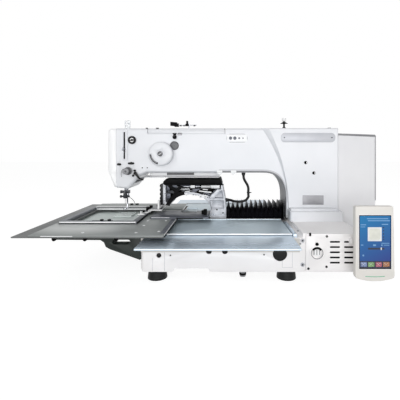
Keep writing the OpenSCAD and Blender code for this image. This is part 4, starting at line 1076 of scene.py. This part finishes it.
# bright faces and edges, with painted highlights and painted shade
clampWall = 14
clampLeft, clampRight = lowEdge("clamp_frame", 0), highEdge("clamp_frame", 0)
clampNear, clampFar = lowEdge("clamp_frame", 1), highEdge("clamp_frame", 1) - clampWall
clampTop = highEdge("clamp_frame", 2)
frameNear, frameBase = lowEdge("feed_frame", 1), lowEdge("feed_frame", 2)
frameRight = highEdge("feed_frame", 0)
feedArmNear = lowEdge("feed_arm", 1)
coverLeft, coverRight = lowEdge("slide_covers", 0), highEdge("slide_covers", 0)
coverSides = ((1, lowEdge("slide_covers", 1)), (-1, highEdge("slide_covers", 1)))
coverTop = highEdge("slide_covers", 2)
matNear = lowEdge("vent_cover", 1) + 3.4
bay = {"centre": (-96, 160), "reach": (76, 58), "web": (10.1, 10.9), "left": -175, "top": 241}
bayOutline = [(bay["left"], bay["top"]), (4, bay["top"]), (4, 226), (-9, 226)]
bayOutline += arcPoints(bay["centre"], bay["reach"], 34, 160, 16) + [(bay["left"], 188)]
edgeSettings = {
    # ground faces of the clamp frame's near and far sides, near white as painted highlights
    "clamp_rails": ("clamp", "brightSteel", {"slot": "steel", "boxes": [
        ((clampLeft + 3, clampNear - 0.4, clampTop - 3.9),
         (clampRight - 3, clampNear + 0.4, clampTop - 0.4)),
        ((clampLeft + 16, clampFar - 0.4, clampTop - 9), (clampRight - 16, clampFar + 0.4, clampTop - 3.6)),
        ((clampLeft + 12, clampFar + 2, clampTop - 0.3), (clampRight - 12, clampFar + 13, clampTop + 0.2)),
        ((clampLeft + 12, clampFar - 0.5, clampTop - 8.6),
         (clampLeft + 17, clampFar + 8, clampTop + 0.3))]}),
    # ground near edges of the two clamp plates, near white as painted highlights
    "plate_edges": ("feed", "brightSteel", {"boxes": [
        ((-430, frameNear - 0.3, frameBase + 0.5), (-352, frameNear + 0.3, frameTop - 0.5)),
        ((frameRight - 2, frameNear + 6, frameTop - 0.3), (frameRight + 0.1, -64, frameTop + 0.3)),
        ((-205, feedArmNear - 0.3, 147.9), (-150, feedArmNear + 0.3, 149))]}),
    # folded edges of the slide covers
    "cover_lips": ("carriage", "brightSteel", {"edge": 0.2, "boxes": [
        box for side, edge in coverSides for box in (
            ((coverLeft, edge - 0.2, coverTop - 3.2), (coverRight, edge + side * 3, coverTop + 0.3)),
            ((coverLeft, -side * 59, coverTop - 1.6), (coverRight, -side * 56.2, coverTop + 0.3)))]}),
    # a black sheet behind the slots: painted shade of the dark inside
    "vent_slot_shade": ("machine", "deepBlack", {"boxes": [((277, matNear, 53), (366, matNear + 1.5, 121))]}),
    # a black sheet on the web behind the linkage, on both sides: painted shade of the deep bay
    "bay_shade": ("feed", "deepBlack", {"slabs": [
        (bayOutline, -bay["web"][1], -bay["web"][0]), (bayOutline, *bay["web"])]}),
    # two clips on the top edge, and the gap at the end of the top cover
    "top_marks": ("machine", "deepBlack", {"boxes": [
        ((-237, -57, 423.4), (-231, -50, 425.6)), ((-204, -57, 423.4), (-196, -50, 425.6)),
        ((17.4, -58.4, 406.5), (19, -57, 423.6))]}),
}
makeParts(edgeSettings)


# the clamp's linkage
linkFront = -44
springSettings = {"turns": 9, "radius": 3.2, "wire": 0.8, "perTurn": 12, "sides": 8, "from": -132, "to": -98,
                  "centre": (linkFront + 5, 226)}
linkageSettings = {
    "linkage_plates": ("feed", "slateMetal", {"edge": 0.3, "slabs": [
        ([(-88, 205), (-56, 216), (-56, 228), (-88, 226)], -40, -36),
        ([(-54, 214), (-30, 205), (-30, 209), (-54, 219)], -42, -38)]}),
    "linkage_levers": ("feed", "deepBlack", {"edge": 0.3, "slabs": [
        ([(-171, 238), (-158, 240), (-122, 211), (-134, 206)], -46, -43),
        ([(-162, 192), (-150, 199), (-118, 236), (-132, 238)], -47, -44),
        ([(-82, 208), (-76, 206), (-28, 222), (-28, 230), (-60, 228), (-84, 214)], -46, -42)]}),
    "linkage_bars": ("feed", "whitePlastic", {
        "edge": 0.3, "rods": [((-107, -49, 209.6), (-107, -44, 209.6), 3.6)], "slabs": [
        ([(-112, 217), (-96, 219), (-96, 221.4), (-112, 219.6)], -48.6, -45),
        ([(-54, 225), (-38, 223.4), (-38, 226), (-54, 227.6)], -47.6, -45.6),
        ([(-66, 219), (-26, 214), (-26, 218), (-66, 222.4)], -47.6, -45.6)]}),
    "cylinder_caps": ("feed", "whitePlastic", {"edge": 0.3, "boxes": [
        ((-94, -44, 230), (-80, -36, 243)), ((-28, -44, 231), (0.6, -36, 241.6))]}),
    # links, pins and stops round the bell crank, all in front of it
    "linkage_links": ("feed", "slateMetal", {"edge": 0.5, "boxes": [
        ((-172, linkFront, 222), (-163, linkFront + 9, 240.5)),
        ((-172, linkFront, 196), (-160, linkFront + 8, 212)),
        ((-128, linkFront + 4, 236), (-66, linkFront + 9, 240.5)),
        ((-155, linkFront + 2, 231), (-139, linkFront + 5, 239)),
        ((-121, linkFront + 6, 212), (-84, linkFront + 9, 217))], "rods": [
        ((-168, linkFront - 2, 205), (-168, linkFront + 4, 205), 4.4, 20),
        ((-166, linkFront - 1.5, 229), (-166, linkFront + 4, 229), 3.2, 20),
        ((-118, linkFront + 2, 217), (-118, linkFront + 9, 217), 5, 20),
        ((-86, linkFront + 3, 214.5), (-86, linkFront + 9, 214.5), 4, 20)]}),
}


def addSpring(made, facts):
    y, z = facts["centre"]
    steps = facts["turns"] * facts["perTurn"]
    run = []
    for i in range(steps + 1):
        angle = 2 * math.pi * i / facts["perTurn"]
        run.append(Vector((facts["from"] + (facts["to"] - facts["from"]) * i / steps,
                           y + facts["radius"] * math.cos(angle), z + facts["radius"] * math.sin(angle))))
    addTube(made, run, facts["wire"], facts["sides"])


makeParts(linkageSettings)
makePiece("linkage_spring", "feed", "brightSteel", lambda made: addSpring(made, springSettings))
print("bright edges and linkage made")


# wheel and knob faces
wheelSettings = {"centre": (-185, 342), "hub": 8.4, "slot": (27.2, 34.6), "from": 186, "to": 254,
                 "floorInset": 3, "floorTurn": 4, "key": (6.4, 1.1), "keyTurn": 35}
knobSettings = {"centre": (-280, 386), "radius": (4.2, 6.4), "arcs": ((30, 170), (215, 330))}


def keyOutline(facts):
    # a turned bar across the hub
    turn = math.radians(facts["keyTurn"])
    along, across = Vector((math.cos(turn), math.sin(turn))), Vector((-math.sin(turn), math.cos(turn)))
    half, thick = facts["key"]
    return [tuple(Vector(facts["centre"]) + along * i * half + across * j * thick)
            for i, j in ((1, 1), (-1, 1), (-1, -1), (1, -1))]


def makeWheelFaces(facts):
    face, knobFace = lowEdge("hand_wheel", 1), lowEdge("arm_knob", 1)
    x, z = facts["centre"]
    inner, outer = facts["slot"]
    floor = arcOutline(facts["centre"], (inner + facts["floorInset"], outer - facts["floorInset"]),
                       facts["from"] + facts["floorTurn"], facts["to"] - facts["floorTurn"])
    slot = arcOutline(facts["centre"], facts["slot"], facts["from"], facts["to"])
    makeParts({
        "wheel_slot": ("hand_wheel", "deepBlack", {"slabs": [(slot, face + 5.4, face + 6.2)]}),
        "wheel_slot_floor": ("hand_wheel", "nameMetal", {"slabs": [(floor, face + 5.1, face + 5.5)]}),
        "wheel_hub": ("hand_wheel", "knobPlastic", {"edge": 0.3, "rods": [
            ((x, face + 0.6, z), (x, face - 0.4, z), facts["hub"], 32)]}),
        "wheel_key": ("hand_wheel", "paleGrey", {"slabs": [(keyOutline(facts), face - 0.6, face)]}),
        # white arcs on the arm knob: painted highlights
        "knob_highlights": ("machine", "tagWhite", {"slabs": [
            (arcOutline(knobSettings["centre"], knobSettings["radius"], *arc), knobFace - 0.2,
             knobFace + 1.2) for arc in knobSettings["arcs"]]}),
    })


makeWheelFaces(wheelSettings)
print("wheel and knob faces made")


# trim, marks and small stops, with painted shade and painted highlights
throatSettings = {"centre": (135, 190), "reach": (79, 91), "power": 2.6, "left": -2, "turn": 85, "steps": 12}
archSettings = {"centre": (-96, 160), "reach": (68, 50), "steps": 14}


def throatBand(inset, width):
    # a band that follows the throat's top edge and thins out down the pillar
    centre, reach, power = throatSettings["centre"], throatSettings["reach"], throatSettings["power"]

    def edge(extra):
        points = []
        for i in range(throatSettings["steps"] + 1):
            angle = math.radians(90 - throatSettings["turn"] * i / throatSettings["steps"])
            more = extra * math.sin(angle)
            points.append((centre[0] + (reach[0] + more) * math.cos(angle) ** (2 / power),
                           centre[1] + (reach[1] + more) * math.sin(angle) ** (2 / power)))
        return [(throatSettings["left"], points[0][1])] + points

    return edge(inset + width) + edge(inset)[::-1]


def archBand(width, start, end):
    # a band on the bracket's arch, between two angles
    centre, reach, steps = archSettings["centre"], archSettings["reach"], archSettings["steps"]
    outer = arcPoints(centre, (reach[0] + width, reach[1] + width), start, end, steps)
    return arcPoints(centre, reach, start, end, steps) + outer[::-1]


guideDepth = (lowEdge("top_guides", 1) + highEdge("top_guides", 1)) / 2
gaugeCentre = (259, 87)
bracketFace = -48
trimSettings = {
    # a grey band and a paler one along the throat's top edge: painted shade of the rounded edge
    "throat_edge_shade": ("machine", "throatGrey", {"slabs": [(throatBand(0.2, 5.4), -58.5, -57.9)]}),
    "throat_shade": ("machine", "paleGrey", {"slabs": [(throatBand(5.6, 5), -58.4, -57.9)]}),
    "head_seams": ("machine", "paleGrey", {"boxes": [
        ((-331.5, -58.25, 247), (-330.7, -57.9, 423)), ((-319.4, -58.2, 262), (-318.8, -57.9, 326)),
        ((-229, -58.3, 405.4), (18, -57.9, 406.4))]}),
    "tag_edge": ("machine", "nameMetal", {"rings": [
        (roundedOutline((23.4, 378), (91, 406), 13), roundedOutline((25.8, 380.4), (88.6, 403.6), 10.8),
         -58.5, -57.9)]}),
    "pillar_plugs": ("machine", "deepBlack", {"rods": [
        ((275, -68.4, 314), (275, -67.5, 314), 5.2), ((301, -68.4, 281), (301, -67.5, 281), 5.2)]}),
    "plug_glints": ("machine", "whitePlastic", {"slabs": [
        (arcOutline(centre, (2.4, 4), -50, 50), -68.7, -68.3) for centre in ((275, 314), (301, 281))]}),
    # a grey strip down the rear cover's right edge: painted shade on its rounded edge
    "rear_edge": ("machine", "lampGrey", {"boxes": [((500.6, -58.4, 192), (502.8, -56, 398))]}),
    "guide_knob": ("machine", "deepBlack", {
        "rods": [((-143, -58, 395), (-143, -65, 395), 6),
                 ((-324.5, -57.8, 308.4), (-324.5, -60, 308.4), 3.6),
                 ((-282.7, -57.8, 312.2), (-282.7, -60, 312.2), 3.6)],
        "slabs": [([(-149.5, 408), (-136.5, 408), (-143, 396)], -64, -58)]}),
    "lamp_screws": ("machine", "deepBlack", {"rods": [
        ((x, -58.5, 297), (x, -57.8, 297), 2.7) for x in (-247, -231)]}),
    "winder_rings": (bodyOfNode["winder_wheel"], "throatGrey", {"rings": [
        (circleOutline((-144, 368), r), circleOutline((-144, 368), r - 0.9), -60.7, -60.2)
        for r in (11, 7.6, 4.2)]}),
    "top_stops": ("machine", "deepBlack", {
        "rods": [((-107, guideDepth, 434), (-107, guideDepth, 450), 3.4),
                 ((-107, guideDepth, 433), (-107, guideDepth, 440), 6)],
        "boxes": [((x, guideDepth - 3, 432.6), (x + 6, guideDepth + 3, 436)) for x in (-131, -120, -86)],
        "slabs": [([(-162, 447), (-162, 434), (-150, 433), (-140, 438), (-140, 445)],
                   guideDepth - 4, guideDepth + 4)]}),
    "guide_spring": ("machine", "nameMetal", {"slabs": [
        (roundedOutline((-134, 401), (-119, 409), 3.6), -59, -57.9)]}),
    "vent_clip": ("machine", "deepBlack", {
        "boxes": [((238.8, -245.8, 131), (243.2, -243, 139))],
        "rods": [((258.8, -245.8, 109.8), (258.8, -244.2, 109.8), 4.2)],
        "slabs": [(arcOutline(gaugeCentre, (10.4, 15.6), 36, 144), -245.9, -244.4)]}),
    "gauge_ring": ("machine", "throatGrey", {
        "rings": [(circleOutline(gaugeCentre, 16), circleOutline(gaugeCentre, 14.6), -245.5, -244.6)],
        "boxes": [((x, -244.4, 82), (x + 1.6, -243.8, 95)) for x in (250.4, 257.6, 264.8)]}),
    "base_seams": ("machine", "paleGrey", {"boxes": [
        ((196.2, -237.2, 47), (197, -236.9, 93)), ((-170, -237.2, 37), (-169.2, -236.9, 71)),
        ((-138.5, -237.2, 37), (-137.4, -236.9, 93)), ((169.6, -237.2, 47.2), (170.4, -236.9, 64)),
        ((169.6, -237.2, 46.4), (197, -236.9, 47.2))]}),
    # dark discs for two small holes: painted shade of their insides
    "base_holes": ("machine", "deepBlack", {"rods": [
        ((-122.3, -237.2, 78.6), (-122.3, -236.8, 78.6), 1.7),
        ((122.2, -237.2, 80), (122.2, -236.8, 80), 1.9)]}),
    "plug_ring": ("machine", "deepBlack", {"rods": [((68, -207, 16.6), (68, -207, 22), 9.4)]}),
    # a beige band on the base's front just under the wing cover: painted shadow of the cover's edge
    "cover_shadow_band": ("machine", "coverShadowBeige", {"boxes": [((-200, -237.3, 86.4), (216, -236.9, 123))]}),
    "ledge_plugs": ("machine", "lampGrey", {"rods": [
        ((216, -215, 135.5), (216, -215, 138), 3), ((217, -238, 109), (217, -236.8, 109), 2.4)]}),
    "cover_seam": ("machine", "nameMetal", {"boxes": [((-252, -24.5, 264.8), (-1, -23.8, 266.2))]}),
    "bed_marks": ("machine", "slateMetal", {"boxes": [
        ((-346, 12.4, 135.9), (-318, 15.2, 136.2)), ((-362, 71, 131.9), (-338, 74.4, 132.3)),
        ((-328, 74, 131.9), (-316, 77, 132.3))]}),
    # black strips along the frame's rails: painted shade in the gaps round them
    "frame_gap_shade": ("clamp", "deepBlack", {"boxes": [
        ((-450, -172.5, 144.6), (-236, -171.8, 147)), ((-231.2, -168, 144.6), (-230.4, 50, 148.4)),
        ((-438, 40.5, 148), (-246, 41.2, 150.2)), ((-363, -159.6, 151), (-303, -158.2, 151.7))]}),
    "clamp_caps": ("clamp", "deepBlack", {"rods": [
        ((-242, -58, 154), (-242, -58, 160), 4), ((-235, -37, 154), (-235, -37, 167), 6),
        ((-233, -3, 154), (-233, -3, 166), 5.5)]}),
    "far_stops": ("feed", "deepBlack", {"rods": [
        ((-342, 131, 144.3), (-342, 131, 148.5), 6), ((-321, 131, 144.3), (-321, 131, 148.5), 6)]}),
    "arch_shade": ("feed", "deepBlack", {"slabs": [
        (archBand(13, 104, 166), bracketFace - 0.5, bracketFace + 0.2)]}),
    "lug_plate": ("feed", "whitePlastic", {"slabs": [
        (roundedOutline((-66, 197.5), (-41, 208), 3), bracketFace - 2, bracketFace + 0.2)]}),
    # grey discs for the lug plate's holes: painted shade of their insides
    "lug_holes": ("feed", "throatGrey", {"rods": [
        ((x, bracketFace - 2.4, z), (x, bracketFace, z), 2) for x, z in ((-60, 203), (-46, 202))]}),
    "clamp_foot": ("clamp", "whitePlastic", {"boxes": [
        ((-254, -84, 151.2), (-234, -78, 154.4)), ((-246.5, -83, 154), (-243, -79, 162)),
        ((-229, -60, 155.4), (-226.6, -44, 160))]}),
    "plate_shades": ("feed", "deepBlack", {"boxes": [
        ((-128.3, -289, 139.3), (-127.4, -64, 144)), ((-130, -111.4, 144.7), (-47, -110.8, 148.2)),
        ((-124, 4, 148.8), (-118.6, 76, 149.3))]}),
    "plate_margin": ("feed", "slateMetal", {"boxes": [
        ((-143, -270, 144.4), (-130.4, -112, 144.8)), ((-190, -36, 144.4), (-128, -8, 148.6))]}),
    # white edges beside the dark slot: painted highlights
    "slot_edges": ("feed", "brightSteel", {"boxes": [
        ((-127.4, 2, 148.8), (-124.4, 80, 149.5)), ((-118.2, 2, 148.8), (-116.2, 80, 149.5))]}),
    "bracket_shade": ("feed", "deepBlack", {
        "boxes": [((-179, bracketFace - 0.5, 239.6), (14, bracketFace + 0.2, 243))],
        "rods": [((-44, -70, 149), (-44, -70, 166), 5.6), ((-51, -59, 149), (-51, -59, 160), 6),
                 ((11.8, bracketFace - 0.6, 150), (11.8, bracketFace, 150), 2.4),
                 ((-8, bracketFace - 0.6, 160.6), (-8, bracketFace, 160.6), 2.6)]}),
    # dark lines along the edges of the bracket's pockets: painted shade
    "bracket_pocket_shade": ("feed", "slateMetal", {"lines": [
        (start, end, width, bracketFace - 0.4, bracketFace + 0.2) for start, end, width in (
            ((-34, 198), (13, 198), 1.8), ((-34, 198), (-15, 223), 2), ((13, 198), (8, 224), 1.2),
            ((-31, 190), (13, 190), 1.6), ((-31, 190), (-26, 161), 1.8), ((13, 190), (15, 161), 1.2))]}),
}
makeParts(trimSettings)
print("trim made:", len(trimSettings), "sets")


# floor and light
studioSettings = {"floor": 8, "fill": 0.36, "floorSeen": 0.9, "floorBounce": 0.75, "floorGlow": 1.24,
                  "floorLit": 0.72, "floorRough": 0.9}


def seenDirectly(tree):
    # 1 where the camera, a reflection or a clear part looks straight at it
    path = addNode(tree, "ShaderNodeLightPath").outputs
    either = mathNode(tree, "MAXIMUM", path["Is Camera Ray"], path["Is Glossy Ray"])
    return mathNode(tree, "MAXIMUM", either, path["Is Transmission Ray"])


def makeFloor(facts):
    size = facts["floor"]
    mesh = bpy.data.meshes.new("floor")
    corners = [(-size, -size, 0), (size, -size, 0), (size, size, 0), (-size, size, 0)]
    mesh.from_pydata(corners, [], [(0, 1, 2, 3)])
    floor = bpy.data.objects.new("floor", mesh)
    bpy.context.scene.collection.objects.link(floor)
    material, tree, shader = startFinish("paleFloor")
    shade = spread(tree, seenDirectly(tree), facts["floorBounce"], facts["floorSeen"], 0, 1)
    setInputs(tree, shader, {"Base Color": shade, "Roughness": facts["floorRough"], "Specular IOR Level": 0})
    glow = addNode(tree, "ShaderNodeEmission", {"Color": (1, 1, 1, 1), "Strength": facts["floorGlow"]})
    mix = addNode(tree, "ShaderNodeMixShader", {
        "Fac": mathNode(tree, "MULTIPLY", seenDirectly(tree), facts["floorLit"]),
        1: shader.outputs["BSDF"], 2: glow.outputs["Emission"]})
    setInputs(tree, tree.nodes["Material Output"], {"Surface": mix.outputs["Shader"]})
    mesh.materials.append(material)


def makeWorld(facts):
    world = bpy.data.worlds.new("studio")
    bpy.context.scene.world = world
    world.use_nodes = True
    tree = world.node_tree
    strength = spread(tree, seenDirectly(tree), facts["fill"], 1, 0, 1)
    setInputs(tree, tree.nodes["Background"], {"Color": (1, 1, 1, 1), "Strength": strength})


lampSettings = {
    # place, target, width and height, and power
    "key": ((-1.7, -2.5, 2.0), (0, 0, 0.25), (0.9, 0.9), 17),
    "front": ((0.1, -3.1, 0.5), (0, 0, 0.2), (3.2, 0.9), 44),
    "side": ((2.4, -1.8, 0.8), (0.1, 0, 0.25), (1.4, 1.2), 7),
    "top": ((0, 0.6, 2.4), (0, 0, 0.1), (2.0, 2.0), 3),
}


def makeLamp(name, place, target, size, power):
    data = bpy.data.lights.new(name, "AREA")
    data.shape = "RECTANGLE"
    data.size, data.size_y = size
    data.energy = power
    lamp = bpy.data.objects.new(name, data)
    lamp.location = place
    lamp.rotation_euler = (Vector(target) - Vector(place)).to_track_quat("-Z", "Y").to_euler()
    bpy.context.scene.collection.objects.link(lamp)


makeFloor(studioSettings)
makeWorld(studioSettings)
for name, facts in lampSettings.items():
    makeLamp(name, *facts)
bpy.context.scene.view_settings.view_transform = "Standard"
print("studio made")
